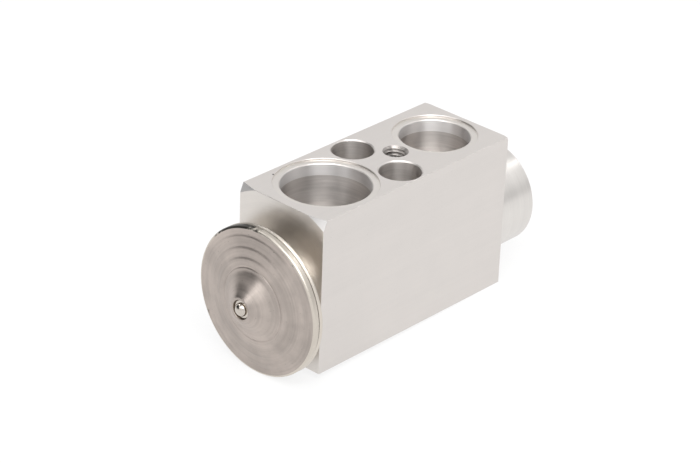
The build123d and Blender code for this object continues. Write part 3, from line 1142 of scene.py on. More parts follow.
    def port_cuts(self) -> list[Object]:
        """Suction port with passage and return port, and liquid port with the drill to the chamber.

        Returns:
            The two cutters.
        """
        passage, back, bevel = self.passage_radius, self.return_depth, self.passage_bevel
        floor = self.height - self.suction_depth
        suction = [
            *self.mouth(self.suction_radius), (floor, self.suction_radius - self.wall_inset, 0.4, BORE),
            (floor, passage + bevel, 0.1, BORE), (floor - bevel, passage, 0.1, BORE),
            (back + bevel, passage, 0.1, BORE), (back, passage + bevel, 0.1, BORE),
            *self.far_mouth(self.return_radius, back),
        ]
        drill, bevel = self.drill_radius, self.drill_bevel
        floor = self.height - self.liquid_depth
        liquid = [
            *self.mouth(self.liquid_radius), (floor, self.liquid_radius - self.wall_inset, 0.4, BORE),
            (floor, drill + bevel, 0.1, BORE), (floor - bevel, drill, 0.1, BORE),
            (AXIS_HEIGHT, drill, 0, BORE), (AXIS_HEIGHT, 0, 0, BORE),
        ]
        return [
            spin("suction_cut", suction, Line.UPRIGHT, (self.suction_x, 0), segments=288),
            spin("liquid_cut", liquid, Line.UPRIGHT, (self.liquid_x, 0), segments=256),
        ]

    def bolt_cuts(self) -> list[Object]:
        """Through holes with their counterbores.

        Returns:
            The two cutters.
        """
        top, head, bore, bevel = self.height, self.bolt_head_radius, self.bolt_radius, self.bolt_bevel
        floor, step = top - self.bolt_head_depth, self.passage_bevel
        rows = [
            (top + CLEAR, 0), (top + CLEAR, head + bevel), (top, head + bevel, 0.03),
            (top - bevel, head, 0.08, DRILL), (floor, head, 0.3, DRILL), (floor, bore + step, 0.05, DRILL),
            (floor - step, bore, 0.05, DRILL), (bevel, bore, 0.1, DRILL), (-HAIR, bore + bevel),
            (-CLEAR, bore + bevel), (-CLEAR, 0),
        ]
        return [
            spin(f"bolt_cut_{side}", rows, Line.UPRIGHT, (0, side * self.bolt_y), segments=192)
            for side in (1, -1)
        ]

    def feed_cuts(self) -> list[Object]:
        """Feed port on the evaporator side, and the passage up to the orifice.

        Returns:
            The two cutters.
        """
        port = [(self.feed_depth, 0, 0, BORE), *self.far_mouth(self.feed_radius, self.feed_depth)]
        start, radius = self.feed_depth - self.outlet_overlap, self.outlet_radius
        corners = ((AXIS_HEIGHT, 0), (AXIS_HEIGHT, radius), (start, radius), (start, 0))
        passage = [(*corner, 0, BORE) for corner in corners]
        return [
            spin("feed_port_cut", port, Line.UPRIGHT, (self.feed_x, 0), segments=160),
            spin("feed_passage_cut", passage, Line.UPRIGHT, (self.outlet_x, 0), segments=96),
        ]

    def stud_cuts(self) -> list[Object]:
        """Tapped hole with its countersink, and its drill point.

        Returns:
            The two cutters.
        """
        floor = self.height - self.stud_depth
        place = Matrix.Translation(Vector((self.stud_x, 0, floor)) * MM)
        sizes = (self.stud_radius, self.stud_thread, self.stud_depth + OVER, self.stud_sink_radius, OVER)
        tap = thread_bar("stud_thread_cut", BORED, place, sizes, steps=(72, 224))
        top = floor + HAIR
        point = [(top, 0, 0, BORE), (top, self.stud_radius, 0, BORE), (floor - self.stud_point, 0, 0, BORE)]
        return [tap, spin("stud_point_cut", point, Line.UPRIGHT, (self.stud_x, 0), segments=72)]

    def axis_cuts(self) -> list[Object]:
        """Head socket, pin guide with its pocket, orifice and seat, and the threaded chamber.

        Returns:
            The cutters.
        """
        face, recess, bore = self.head_face, self.seal_recess_radius, self.head_bore_radius
        shelf, shoulder = face + self.seal_recess_depth, face + self.neck_depth
        passage, outlet, orifice = self.suction_x, self.outlet_x, self.orifice_radius
        run, end = self.seat_x + self.seat_run, self.boss_end + CLEAR
        outlines = {
            "socket_cut": [
                (face - CLEAR, 0, 0, FACE), (face - CLEAR, recess, 0, FACE), (shelf, recess, 0.1, FACE),
                (shelf, self.neck_radius, 0, LATHE), (shoulder, self.neck_radius, 0.1, FACE),
                (shoulder, bore, 0, LATHE), (passage, bore, 0, LATHE), (passage, 0, 0, LATHE),
            ],
            "guide_cut": [
                (passage, 0, 0, LATHE), (passage, self.pocket_radius, 0, LATHE),
                (self.pocket_end, self.pocket_radius, 0.1, FACE),
                (self.pocket_end, self.guide_radius, 0, LATHE), (outlet, self.guide_radius, 0, LATHE),
                (outlet, 0, 0, LATHE),
            ],
            "seat_cut": [
                (outlet, 0, 0, LATHE), (outlet, orifice, 0, LATHE),
                (self.seat_x - self.seat_radius + orifice, orifice, 0, LATHE),
                (run, self.seat_radius + self.seat_run, 0, LATHE), (run, 0, 0, LATHE),
            ],
            "chamber_cut": [
                (self.seat_x, 0, 0, FACE), (self.seat_x, self.chamber_radius, 0.2, LATHE),
                (end, self.chamber_radius, 0, FACE), (end, 0, 0, FACE),
            ],
        }
        cuts = [spin(name, rows, segments=144) for name, rows in outlines.items()]
        length, sink = self.boss_end + OVER - self.chamber_thread_x, self.chamber_radius + self.chamber_sink
        sizes = (self.chamber_radius - PLAY, self.chamber_thread, length, sink, OVER)
        place = on_axis(self.chamber_thread_x) @ UPRIGHT_TO_X
        return [*cuts, thread_bar("chamber_thread_cut", LATHED, place, sizes, steps=(120, 116))]

    def build(self) -> None:
        """Carve the block."""
        block = self.stock()
        cuts = [*self.port_cuts(), *self.bolt_cuts(), *self.feed_cuts()]
        cuts += self.stud_cuts() + self.axis_cuts()
        tools = self.turned_tools() + [(cut, "DIFFERENCE") for cut in cuts]
        threads = {"stud_thread_cut": TAP, "chamber_thread_cut": LATHE}
        for piece in [block, *(tool for tool, _operation in tools)]:
            for face in piece.data.polygons if piece.name in threads else ():
                face.material_index = threads[piece.name]
            paint(piece, BLOCK_SKINS)
        carve(block, tools)
        dress(block, BLOCK_SKINS, Role(Body.BLOCK, "machined_aluminium", "valve_body"), angle=25)


# Power head


@dataclass
class PowerHead:
    """Cover, housing, diaphragm, plate, seal and plug of the diaphragm head. Sizes in mm."""

    face: float = -33.5
    gap: float = 5.0
    rim: float = 19.45
    rim_width: float = 2.0
    housing_flange: float = 0.8
    sheet: float = 0.2
    cover_flange: float = 1.9
    groove: float = 0.35
    cover_sheet: float = 1.3
    clamp: float = 3.0
    steps: tuple[float, float, float] = (17.2, 14.3, 11.8)
    step_width: float = 0.8
    step_rise: float = 0.16
    slope: float = 0.134
    inner_inset: float = 1.2
    cone_base: float = 9.3
    crease: float = 0.2
    crease_width: float = 0.25
    crease_start: float = 0.6
    face_steps: int = 80
    blend: float = 1.6
    curve_steps: int = 8
    cone_height: float = 3.9
    cone_tip: float = 3.15
    recess_radius: float = 2.5
    recess_depth: float = 0.8
    hub_edge: float = 0.3
    rim_edge: float = 0.7
    plug_radius: float = 2.35
    plug_flange: float = 0.35
    dome_radius: float = 1.75
    plug_height: float = 1.8
    hole_radius: float = 1.0
    plate_radius: float = 9.0
    plate_thickness: float = 1.2
    hub_radius: float = 4.6
    hub_length: float = 2.2
    rod_radius: float = 3.2
    socket_depth: float = 2.4
    stroke: float = 0.8
    stroke_play: float = 0.05
    plate_play: float = 1.0
    collar_radius: float = 12.5
    collar_length: float = 2.4
    neck_radius: float = 9.0
    neck_length: float = 4.0
    bore_radius: float = 5.3
    corrugation_width: float = 3.2
    corrugation_height: float = 0.45
    corrugation_steps: int = 12
    sheet_inset: float = 0.2
    seal_section: float = 1.5
    seal_radius: float = 9.95

    @property
    def housing_face(self) -> float:
        """X of the housing's clamping face."""
        return self.face - self.gap - self.housing_flange

    @property
    def cover_face(self) -> float:
        """X of the cover's clamping face."""
        return self.housing_face - self.sheet

    @property
    def rim_front(self) -> float:
        """X of the cover's flat rim."""
        return self.cover_face - self.cover_flange

    @property
    def cone_foot(self) -> float:
        """X of the cone's foot before the steps are pressed."""
        return self.rim_front - self.slope * (self.steps[0] - self.cone_base)

    @property
    def tip(self) -> float:
        """X of the cone's tip, steps pressed."""
        return self.cone_foot - len(self.steps) * self.step_rise - self.cone_height

    def face_line(self, offset: float, inset: float) -> list[Row]:
        """Line of the cover's sloping face before its steps are pressed, from the rim to the cone.

        Args:
            offset: distance behind the front skin.
            inset: distance by which its outer end stands inside the front skin's.

        Returns:
            Corners close enough together for the steps.
        """
        start, end = self.steps[0] + self.step_width / 2 - inset, self.cone_base + self.crease_start
        rows = []
        for index in range(self.face_steps + 1):
            radius = start + (end - start) * index / self.face_steps
            rise = self.slope * max(self.steps[0] - radius, 0.0)
            rows.append((self.rim_front - rise + offset, radius))
        base = self.cone_foot + offset
        if offset > 0:
            return [*rows, (base, self.cone_base)]
        rows.append((base + self.crease, self.cone_base + self.crease_width, 0.1))
        run = self.cone_base - self.cone_tip
        steep = (self.cone_height - self.slope * self.blend / 2) / (run - self.blend / 2)
        for index in range(self.curve_steps + 1):
            away = self.blend * index / self.curve_steps
            rise = self.slope * away + (steep - self.slope) * away**2 / (2 * self.blend)
            rows.append((base - rise, self.cone_base - away))
        return rows

    def cover(self) -> None:
        """Stamped cover, open inside."""
        # Skin 2, the plug recess, carries painted shade.
        # Skin 3, the rim's edge, carries the painted dark reflection.
        bright, painted_shade_recess, painted_reflection_edge = 1, 2, 3
        tip = self.cone_foot - self.cone_height
        floor, hole, clamp = tip + self.recess_depth, self.hole_radius, self.rim - self.clamp
        below, inner = floor + self.cover_sheet, self.face_line(self.cover_sheet, self.inner_inset)
        rows = [
            (self.rim_front, self.rim, 0.55, painted_reflection_edge), *self.face_line(0.0, 0.0), (tip, self.cone_tip, 0.35),
            (tip, self.recess_radius, 0.15, painted_shade_recess), (floor, self.recess_radius, 0.15, painted_shade_recess),
            (floor, hole, 0, painted_shade_recess), (below, hole), (below, self.cone_tip, 0.2), *reversed(inner),
            (inner[0][0], clamp), (self.cover_face, clamp),
            (self.cover_face, self.rim - self.groove, 0, bright),
            (self.cover_face - self.groove, self.rim, 0.25, painted_reflection_edge),
        ]
        piece = spin("cover_shell", rows, segments=320)
        finishes = [COVER, RIM, RECESS, EDGE]
        paint(piece, finishes)
        sizes = dict(zip(("First Radius", "Second Radius", "Third Radius"), self.steps))
        sizes |= {"Step Width": self.step_width, "Step Rise": self.step_rise}
        sizes |= {"Hub Radius": self.recess_radius + self.hub_edge, "Face Radius": self.rim - self.rim_edge}
        pressing_tree().grow(piece, COVER, sizes)
        dress(piece, finishes, Role(Body.BLOCK, "cover_steel", "head_cover"))

    def plug(self) -> None:
        """Round-ended plug in the tip of the cone."""
        floor, hole = self.tip + self.recess_depth, self.hole_radius - PLAY
        flange, below = floor - self.plug_flange, floor + self.cover_sheet
        crown = []
        for step in range(1, self.curve_steps + 1):
            angle = math.pi / 2 * step / self.curve_steps
            rise = (self.plug_height - self.plug_flange) * math.cos(angle)
            crown.append((flange - rise, self.dome_radius * math.sin(angle)))
        rows = [
            (floor - self.plug_height, 0), *crown,
            (flange, self.plug_radius, 0.12), (floor, self.plug_radius), (floor, hole), (below, hole, 0.2),
            (below, 0),
        ]
        role = Role(Body.BLOCK, "plug_steel", "charge_plug")
        turned_piece("plug_pin", rows, [PLUG], role, segments=96)

    def housing(self) -> None:
        """Flange, dish, collar and neck in one turned piece."""
        bright = 1
        front, back, end = self.housing_face, self.face - self.gap, self.face + self.neck_length
        floor = front + self.plate_thickness + self.stroke + self.stroke_play
        rows = [
            (front, self.rim - self.groove, 0, bright), (front + self.groove, self.rim, 0.15, bright),
            (back, self.rim, 0.3), (back, self.rim - self.rim_width, 0.4),
            (self.face - self.collar_length, self.collar_radius, 0.5), (self.face, self.collar_radius, 0.2),
            (self.face, self.neck_radius), (end, self.neck_radius, 0.4), (end, self.bore_radius, 0.2),
            (floor, self.bore_radius, 0.2), (floor, self.plate_radius + self.plate_play, 0.4),
            (front, self.rim - self.clamp),
        ]
        role = Role(Body.BLOCK, "housing_steel", "head_housing")
        turned_piece("housing_shell", rows, [HOUSING, RIM], role, segments=320)

    def membrane(self) -> None:
        """Thin diaphragm with one round corrugation."""
        back, front, rim = self.housing_face, self.cover_face, self.rim - self.groove - self.sheet_inset
        middle = (self.rim - self.clamp + self.plate_radius) / 2
        wave = []
        for step in range(self.corrugation_steps + 1):
            share = step / self.corrugation_steps
            lift = self.corrugation_height * math.sin(math.pi * share) ** 2
            wave.append((middle + self.corrugation_width * (share - 0.5), lift))
        rows = [(back, 0), *((back - lift, radius) for radius, lift in wave), (back, rim), (front, rim)]
        rows += [*((front - lift, radius) for radius, lift in reversed(wave)), (front, 0)]
        turned_piece("diaphragm_sheet", rows, [SPRING], Role(Body.BLOCK, "spring_steel", "diaphragm"))

    def plate(self) -> None:
        """Stopper plate with the rod's socket in its hub."""
        front, hole = self.housing_face, self.rod_radius + PLAY
        back = front + self.plate_thickness
        hub_end = back + self.hub_length
        rows = [
            (front, 0), (front, self.plate_radius, 0.3), (back, self.plate_radius, 0.15),
            (back, self.hub_radius, 0.2), (hub_end, self.hub_radius, 0.25), (hub_end, hole),
            (hub_end - self.socket_depth, hole), (hub_end - self.socket_depth, 0),
        ]
        turned_piece("stopper_plate", rows, [BRASS_FACE], Role(Body.ROD, "plate_brass", "diaphragm_plate"))

    def build(self) -> None:
        """Build the head's pieces."""
        self.cover()
        self.plug()
        self.housing()
        self.membrane()
        self.plate()
        middle = self.face + self.seal_section / 2
        rubber_ring("collar_o_ring", middle, self.seal_radius, self.seal_section, Body.BLOCK, "head_seal")


# Rod, pin and seals


@dataclass
class RodTrain:
    """Rod, sleeve and pin, and what seals the pin. Sizes in mm."""

    rod_start: float = -38.3
    rod_end: float = -9.45
    rod_radius: float = 3.2
    pin_radius: float = 1.2
    pin_socket: float = 4.0
    pin_end: float = 16.3
    sleeve_start: float = -25.62
    sleeve_end: float = -11.58
    sleeve_radius: float = 4.3
    nut_x: float = -7.85
    washer_x: float = -7.45
    seal_x: float = -6.65
    pocket_floor: float = -4.85
    pocket_radius: float = 3.88
    washer_bore: float = 1.25
    seal_play: float = 0.03
    nut_bore: float = 1.8
    nut_web: float = 2.84
    slit: float = 0.8
    teeth: int = 6

    def turned(self) -> None:
        """Rod with a blind hole for the pin, sleeve on the rod, pin to the ball, and flat washer."""
        hole, bore = self.pin_radius + PLAY, self.rod_radius + PLAY
        root = self.rod_end - self.pin_socket
        rod = [
            (self.rod_start, 0), (self.rod_start, self.rod_radius, 0.25),
            (self.rod_end, self.rod_radius, 0.3), (self.rod_end, hole, 0.1), (root, hole), (root, 0),
        ]
        sleeve = [
            (self.sleeve_start, bore, 0.15), (self.sleeve_start, self.sleeve_radius, 0.3),
            (self.sleeve_end, self.sleeve_radius, 0.3), (self.sleeve_end, bore, 0.15),
        ]
        pin = [
            (root, 0), (root, self.pin_radius, 0.2), (self.pin_end, self.pin_radius, 0.2), (self.pin_end, 0),
        ]
        washer = [
            (self.washer_x, self.washer_bore, 0.08), (self.washer_x, self.pocket_radius, 0.12),
            (self.seal_x, self.pocket_radius, 0.12), (self.seal_x, self.washer_bore, 0.08),
        ]
        turned_piece("feeler_rod", rod, [ROD], Role(Body.ROD, "rod_aluminium", "sensing_rod"))
        turned_piece("damping_sleeve", sleeve, [SLEEVE], Role(Body.ROD, "sleeve_plastic", "rod_sleeve"))
        pin_role = Role(Body.ROD, "pin_steel", "push_pin")
        turned_piece("ground_pin", pin, [GROUND], pin_role, segments=64)
        washer_role = Role(Body.BLOCK, "pin_steel", "seal_washer")
        turned_piece("flat_washer", washer, [GROUND], washer_role, segments=96)

    def tooth(self) -> bmesh.types.BMesh:
        """One tooth of the spring washer.

        Returns:
            The tooth with its share of the web.
        """
        half, across, outwards = math.pi / self.teeth, 12, 4
        rows = [(self.nut_bore, half), (self.nut_web, half)]
        root = self.nut_web + PLAY
        for step in range(outwards + 1):
            radius = root + (self.pocket_radius - root) * step / outwards
            rows.append((radius, half - math.asin(self.slit / 2 / radius)))
        mesh = bmesh.new()
        sides = []
        for x in (self.nut_x, self.washer_x):
            grid = []
            for radius, reach in rows:
                angles = [half + reach * (2 * step / across - 1) for step in range(across + 1)]
                places = [(x, radius * math.sin(a), AXIS_HEIGHT + radius * math.cos(a)) for a in angles]
                grid.append([mesh.verts.new(Vector(place) * MM) for place in places])
            sides.append(grid)
        front, back = sides
        last = len(rows) - 1
        for row in range(last):
            for step in range(across):
                for grid in sides:
                    near, far = grid[row], grid[row + 1]
                    mesh.faces.new((near[step], near[step + 1], far[step + 1], far[step]))
            for step in (0, across) if row > 0 else ():
                mesh.faces.new((front[row][step], front[row + 1][step], back[row + 1][step], back[row][step]))
        for row in (0, last):
            for step in range(across):
                mesh.faces.new((front[row][step], front[row][step + 1], back[row][step + 1], back[row][step]))
        return mesh

    def build(self) -> None:
        """Build rod, pin and seal pieces."""
        self.turned()
        nut = repeat_tree().grow(finished("toothed_washer", self.tooth()), SPRING, {}, {"Count": self.teeth})
        weld(nut)
        dress(nut, [SPRING], Role(Body.BLOCK, "spring_steel", "push_nut"))
        section, middle = self.pocket_floor - self.seal_x, (self.pocket_floor + self.seal_x) / 2
        radius = self.pin_radius + self.seal_play + section / 2
        rubber_ring("pin_o_ring", middle, radius, section, Body.BLOCK, "pin_seal")


# Ball, carrier, springs and adjuster


@dataclass
class SpringTrain:
    """Ball, carrier, springs, spring seat and adjusting screw. Sizes in mm."""

    ball_x: float = 19.10
    ball_radius: float = 2.8
    ball_steps: int = 32
    cup_radius: float = 3.4
    cup_lip: float = 0.4
    cup_half_angle: float = 60.0
    flange_x: float = 21.70
    flange_radius: float = 5.5
    spring_x: float = 22.90
    stem_radius: float = 3.0
    stem_length: float = 3.2
    finger_sheet: float = 0.3
    finger_reach: float = 2.0
    finger_width: float = 1.8
    finger_tip: float = 6.55
    finger_bend: float = 1.3
    finger_end: float = 0.9
    finger_taper: float = 0.8
    finger_steps: int = 8
    fingers: int = 6
    spring_length: float = 12.2
    spring_radius: float = 4.7
    wire_radius: float = 0.75
    turns: float = 5.0
    seat_x: float = 35.10
    seat_radius: float = 6.4
    pilot_radius: float = 3.2
    pilot_length: float = 2.4
    screw_x: float = 36.50
    screw_radius: float = 6.55
    screw_length: float = 7.4
    groove_inset: float = 1.2
    groove_width: float = 2.0
    groove_depth: float = 1.35
    thread_depth: float = 0.35
    thread_root: float = 0.03
    thread_start: float = 0.4
    thread_inset: float = 0.5
    shoulder: float = 0.5
    shoulder_chamfer: float = 0.3
    hex_flats: float = 5.0
    hex_depth: float = 4.0
    hex_point: float = 0.8
    hex_bevel: float = 0.25
    hex_out: float = 0.5

    def ball(self) -> None:
        """Ground ball."""
        rows = []
        for step in range(self.ball_steps + 1):
            angle = math.pi * step / self.ball_steps
            radius = 0.0 if step in (0, self.ball_steps) else self.ball_radius * math.sin(angle)
            rows.append((self.ball_x - self.ball_radius * math.cos(angle), radius))
        role = Role(Body.ROD, "pin_steel", "valve_ball")
        turned_piece("ground_ball", rows, [GROUND], role, segments=64)

    def carrier(self) -> None:
        """Turned carrier with a conical cup for the ball."""
        half = math.radians(self.cup_half_angle)
        apex, mouth = self.ball_x + self.ball_radius / math.sin(half), self.cup_radius - self.cup_lip
        lip, end = apex - mouth / math.tan(half), self.spring_x + self.stem_length
        rows = [
            (apex, 0), (lip, mouth, 0.1), (lip, self.cup_radius, 0.15), (self.flange_x, self.cup_radius),
            (self.flange_x, self.flange_radius, 0.15), (self.spring_x, self.flange_radius, 0.15),
            (self.spring_x, self.stem_radius, 0.2), (end, self.stem_radius, 0.4), (end, 0),
        ]
        turned_piece("turned_carrier", rows, [CARRIER], Role(Body.ROD, "carrier_steel", "ball_carrier"))

    def finger(self) -> bmesh.types.BMesh:
        """One bent finger of the damping spring.

        Returns:
            The finger, its root at the ring's edge.
        """
        tip = math.sqrt(self.finger_tip**2 - (self.finger_width / 2) ** 2)
        thick = self.finger_sheet / 2
        start, end = self.flange_radius - thick, tip - thick
        mesh = bmesh.new()
        rows = []
        for step in range(self.finger_steps + 1):
            share = step / self.finger_steps
            x = self.flange_x - thick - self.finger_reach * share
            radius = start + (end - start) * share**self.finger_bend
            half = self.finger_width / 2 * (1.0 if share < self.finger_end else self.finger_taper)
            section = ((-half, -thick), (half, -thick), (half, thick), (-half, thick))
            rows.append([mesh.verts.new(Vector((x, y, AXIS_HEIGHT + radius + up)) * MM) for y, up in section])
        for first, second in zip(rows, rows[1:]):
            for corner in range(4):
                after = (corner + 1) % 4
                mesh.faces.new((first[corner], first[after], second[after], second[corner]))
        mesh.faces.new(rows[0])
        mesh.faces.new(rows[-1])
        bmesh.ops.recalc_face_normals(mesh, faces=mesh.faces)
        return mesh

    def damper(self) -> None:
        """Ring with bent fingers that rub on the chamber's wall."""
        piece = finished("finger_spring", self.finger())
        repeat_tree().grow(piece, SPRING, {}, {"Count": self.fingers})
        front, back, hole = self.flange_x - self.finger_sheet, self.flange_x, self.cup_radius + PLAY
        edge = self.flange_radius
        square = ((front, hole), (front, edge), (back, edge), (back, hole))
        ring = spin("finger_ring", [(*corner, 0.05) for corner in square], segments=96)
        paint(ring, [SPRING])
        carve(piece, [(ring, "UNION")])
        dress(piece, [SPRING], Role(Body.ROD, "spring_steel", "damping_spring"))

    def spring(self) -> None:
        """Closing spring in two lengths of one wire."""
        middle = self.spring_x + self.spring_length / 2
        halves = {
            "closing_spring_front": (0.0, Span(Body.ROD, self.spring_x, Body.BLOCK, middle)),
            "closing_spring_back": (0.5, Span(Body.BLOCK, middle, Body.SLIDE, self.seat_x)),
        }
        sizes = {"Length": self.spring_length, "Mean Radius": self.spring_radius}
        sizes["Wire Radius"] = self.wire_radius
        for name, (start, span) in halves.items():
            shares = {"Turns": self.turns, "From": start, "To": start + 0.5}
            piece = coil_tree().grow(finished(name), SPRING, sizes, shares)
            piece.data.transform(on_axis(self.spring_x))
            weld(piece)
            dress(piece, [SPRING], Role(span, "spring_steel", "superheat_spring"), angle=50)

    def seat(self) -> None:
        """Disc between spring and screw, with a pilot inside the spring."""
        start = self.seat_x - self.pilot_length
        rows = [
            (start, 0), (start, self.pilot_radius, 0.6), (self.seat_x, self.pilot_radius, 0.15),
            (self.seat_x, self.seat_radius, 0.2), (self.screw_x, self.seat_radius, 0.2), (self.screw_x, 0),
        ]
        turned_piece("spring_plate", rows, [CARRIER], Role(Body.SLIDE, "carrier_steel", "spring_seat"))

    def hexagon(self, end: float) -> Object:
        """Cutter for the hexagon socket, with a bevelled mouth and a drill point.

        Args:
            end: x of the screw's outer face.

        Returns:
            The cutter.
        """
        corner = self.hex_flats / 2 / math.cos(math.pi / 6)
        floor = end - self.hex_depth
        bevel, out = self.hex_bevel, self.hex_out
        rows = [(floor, corner), (end - bevel, corner), (end + out, corner + bevel + out)]
        mesh = bmesh.new()
        rings = []
        for x, radius in rows:
            angles = [math.pi / 3 * step for step in range(6)]
            places = [(x, radius * math.cos(a), AXIS_HEIGHT + radius * math.sin(a)) for a in angles]
            rings.append([mesh.verts.new(Vector(place) * MM) for place in places])
        point = mesh.verts.new(Vector((floor - self.hex_point, 0, AXIS_HEIGHT)) * MM)
        for step in range(6):
            after = (step + 1) % 6
            for first, second in zip(rings, rings[1:]):
                mesh.faces.new((first[step], first[after], second[after], second[step]))
            mesh.faces.new((rings[0][step], rings[0][after], point))
        mesh.faces.new(rings[-1])
        bmesh.ops.recalc_face_normals(mesh, faces=mesh.faces)
        return finished("hexagon_cut", mesh)

    def screw(self) -> None:
        """Adjusting screw with a thread, a seal groove and a hexagon socket."""
        faced, chamfer = 1, 0.15
        outer = self.screw_radius
        floor, core = outer - self.groove_depth, outer - self.thread_depth
        start, end = self.screw_x + self.groove_inset, self.screw_x + self.screw_length
        groove_end = start + self.groove_width
        shoulder, thread_start = groove_end + self.shoulder, groove_end + self.thread_start
        rows = [
            (self.screw_x, 0, 0, faced), (self.screw_x, outer, 0.2), (start, outer, 0.15),
            (start, floor, 0.15), (groove_end, floor, 0.15), (groove_end, outer, 0.15),
            (shoulder, outer, 0.1), (shoulder + self.shoulder_chamfer, core), (end - chamfer, core),
            (end, core - chamfer, 0, faced), (end, 0, 0, faced),
        ]
        piece = spin("hex_screw", rows, segments=144)
        root, length = self.thread_root, end - self.thread_inset - thread_start
        sizes = (core - root, self.thread_depth + root, length, 0.0, 0.0)
        place = on_axis(thread_start) @ UPRIGHT_TO_X
        bar = thread_bar("screw_thread", BRASS, place, sizes, steps=(120, 56))
        socket = self.hexagon(end)
        finishes = [BRASS, BRASS_FACE]
        for part in (piece, bar, socket):
            paint(part, finishes)
        carve(piece, [(bar, "UNION"), (socket, "DIFFERENCE")])
        dress(piece, finishes, Role(Body.SCREW, "screw_brass", "adjusting_screw"))

    def build(self) -> None:
        """Build the chamber's contents."""
        self.ball()
        self.carrier()
        self.damper()
        self.spring()
        self.seat()
        self.screw()
        middle = self.screw_x + self.groove_inset + self.groove_width / 2
        radius = self.screw_radius - self.groove_depth / 2
        rubber_ring("screw_o_ring", middle, radius, self.groove_depth, Body.SCREW, "adjuster_seal")


# Stage


@dataclass
class PhotoCamera:
    """The photograph's viewpoint. Angles in degrees, distances in mm."""

    azimuth: float = -48.0218
    elevation: float = 27.9846
    roll: float = 2.3112
    eye: Point = (-446.626, -394.057, 337.974)
    lens: float = 138.482

    def build(self) -> None:
        """Place the camera and make it the scene's own."""
        turn, rise, lean = (math.radians(a) for a in (self.azimuth, self.elevation, self.roll))
        back = Vector((math.sin(turn) * math.cos(rise), -math.cos(turn) * math.cos(rise), math.sin(rise)))
        right = Vector((math.cos(turn), math.sin(turn), 0))
        up = back.cross(right)
        tilted = right * math.cos(lean) + up * math.sin(lean)
        upright = up * math.cos(lean) - right * math.sin(lean)
        data = bpy.data.cameras.new("photo_camera")
        data.lens = self.lens
        data.sensor_width = 36.0
        data.sensor_fit = "HORIZONTAL"
        data.clip_start = 0.01
        data.clip_end = 20.0
        camera = bpy.data.objects.new("photo_camera", data)
        frame = Matrix((tilted, upright, back)).transposed().to_4x4()
        camera.matrix_world = Matrix.Translation(Vector(self.eye) * MM) @ frame
        bpy.context.scene.collection.objects.link(camera)
        bpy.context.scene.camera = camera


class Lamp(NamedTuple):
    """A soft round lamp: its name, where it hangs, its diameter in metres, its power in watts."""

    name: str
    place: Point
    size: float
    power: float

    def build(self) -> None:
        """Hang the lamp so that it points at the valve."""
        data = bpy.data.lights.new(self.name, "AREA")
        data.shape = "DISK"
        data.size = self.size
        data.energy = self.power
        lamp = bpy.data.objects.new(self.name, data)
        lamp.location = self.place
        way = VALVE_MIDDLE - Vector(self.place)
        lamp.rotation_euler = way.to_track_quat("-Z", "Y").to_euler()
        bpy.context.scene.collection.objects.link(lamp)


class Shade(NamedTuple):
    """A soft darker part of the room that the metal mirrors.

    It has the direction from the valve to its middle, the cosines of the angles at which it starts and
    is darkest, and the brightness of its middle against the room's.
    """

    way: Point
    edge: float
    core: float
    level: float


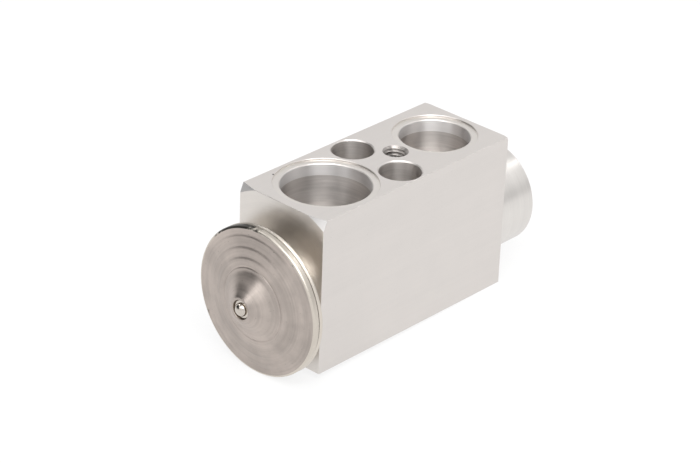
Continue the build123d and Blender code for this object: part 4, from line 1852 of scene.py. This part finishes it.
@dataclass
class Studio:
    """White floor, soft lamps and a pale room. Sizes in metres."""

    floor_half: float = 2.0
    rim_foot: tuple[float, float] = (-0.0409, -0.00195)
    block_foot: tuple[float, float] = (0.0339, 0.0)
    paper: float = 0.9
    glow_share: float = 0.8
    room_level: float = 0.95
    lamps: tuple[Lamp, ...] = (
        Lamp("front_lamp", (-0.35, -0.8, 1.2), 0.5, 1.6),
        Lamp("side_lamp", (-1.1, 0.1, 0.9), 0.5, 2.0),
        Lamp("over_lamp", (0.25, 0.3, 1.5), 0.4, 1.6),
        Lamp("right_lamp", (0.78, -0.45, 1.07), 0.16, 0.8),
        Lamp("left_lamp", (-0.35, 0.83, 1.07), 0.16, 0.8),
        Lamp("high_lamp", (-0.5, -0.6, 1.15), 1.3, 11.0),
    )
    shades: tuple[Shade, ...] = (
        Shade((-0.62, 0.76, 0.18), 0.74, 0.95, 0.04),
        Shade((0.05, 0.1, 1.0), 0.72, 0.97, 0.55),
        Shade((0.66, -0.75, 0.02), 0.9, 0.99, 0.7),
    )

    def floor(self) -> None:
        """Pale floor under the head's rim and the block's far edge, on which the valve leans."""
        (x0, z0), (x1, z1) = self.rim_foot, self.block_foot
        lean = (z1 - z0) / (x1 - x0)
        mesh, half = bmesh.new(), self.floor_half
        corners = ((-half, -half), (half, -half), (half, half), (-half, half))
        mesh.faces.new([mesh.verts.new((x, y, z0 + (x - x0) * lean)) for x, y in corners])
        floor = finished("studio_floor", mesh)
        material, graph, shader = blank_material("floor paper")
        shader.inputs["Base Color"].default_value = (self.paper, self.paper, self.paper, 1.0)
        shader.inputs["Roughness"].default_value = 0.9
        rays = graph.add("ShaderNodeLightPath").outputs
        seen = graph.math("MAXIMUM", rays["Is Camera Ray"], rays["Is Glossy Ray"])
        seen = graph.math("MAXIMUM", seen, rays["Is Transmission Ray"])
        glow = graph.out("ShaderNodeEmission", {"Color": WHITE, "Strength": 1.0})
        share = graph.math("MULTIPLY", seen, self.glow_share)
        mix = graph.out("ShaderNodeMixShader", {0: share, 1: shader.outputs[0], 2: glow})
        graph.join(mix, graph.tree.nodes["Material Output"].inputs["Surface"])
        floor.data.materials.append(material)

    def room(self) -> None:
        """Pale room: white to the camera, with darker parts for the metal to mirror."""
        world = bpy.data.worlds.new("pale room")
        bpy.context.scene.world = world
        world.use_nodes = True
        graph = Graph(world.node_tree)
        back = world.node_tree.nodes["Background"]
        rays = graph.add("ShaderNodeLightPath").outputs
        way = graph.add("ShaderNodeTexCoord").outputs["Generated"]
        level: float | Socket = self.room_level
        for shade in self.shades:
            middle = tuple(Vector(shade.way).normalized())
            near = graph.vector("DOT_PRODUCT", {0: way, 1: middle}, "Value")
            factor = graph.between(graph.ramp(near, shade.edge, shade.core), 1.0, shade.level)
            level = graph.math("MULTIPLY", level, factor)
        graph.join(graph.math("MAXIMUM", level, rays["Is Camera Ray"]), back.inputs["Strength"])
        back.inputs["Color"].default_value = WHITE

    def build(self) -> None:
        """Set up floor, room, lamps and the plain view."""
        self.floor()
        self.room()
        for lamp in self.lamps:
            lamp.build()
        bpy.context.scene.view_settings.view_transform = "Standard"


def main() -> None:
    """Load the frame, build the scene and log its bodies."""
    logging.basicConfig(level=logging.INFO, format="%(message)s")
    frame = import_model()
    PhotoCamera().build()
    Studio().build()
    for assembly in (ValveBlock(), PowerHead(), RodTrain(), SpringTrain()):
        assembly.build()
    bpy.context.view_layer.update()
    LOG.info("bodies: %s", ", ".join(sorted(frame["bodies"])))


if __name__ == "__main__":
    main()
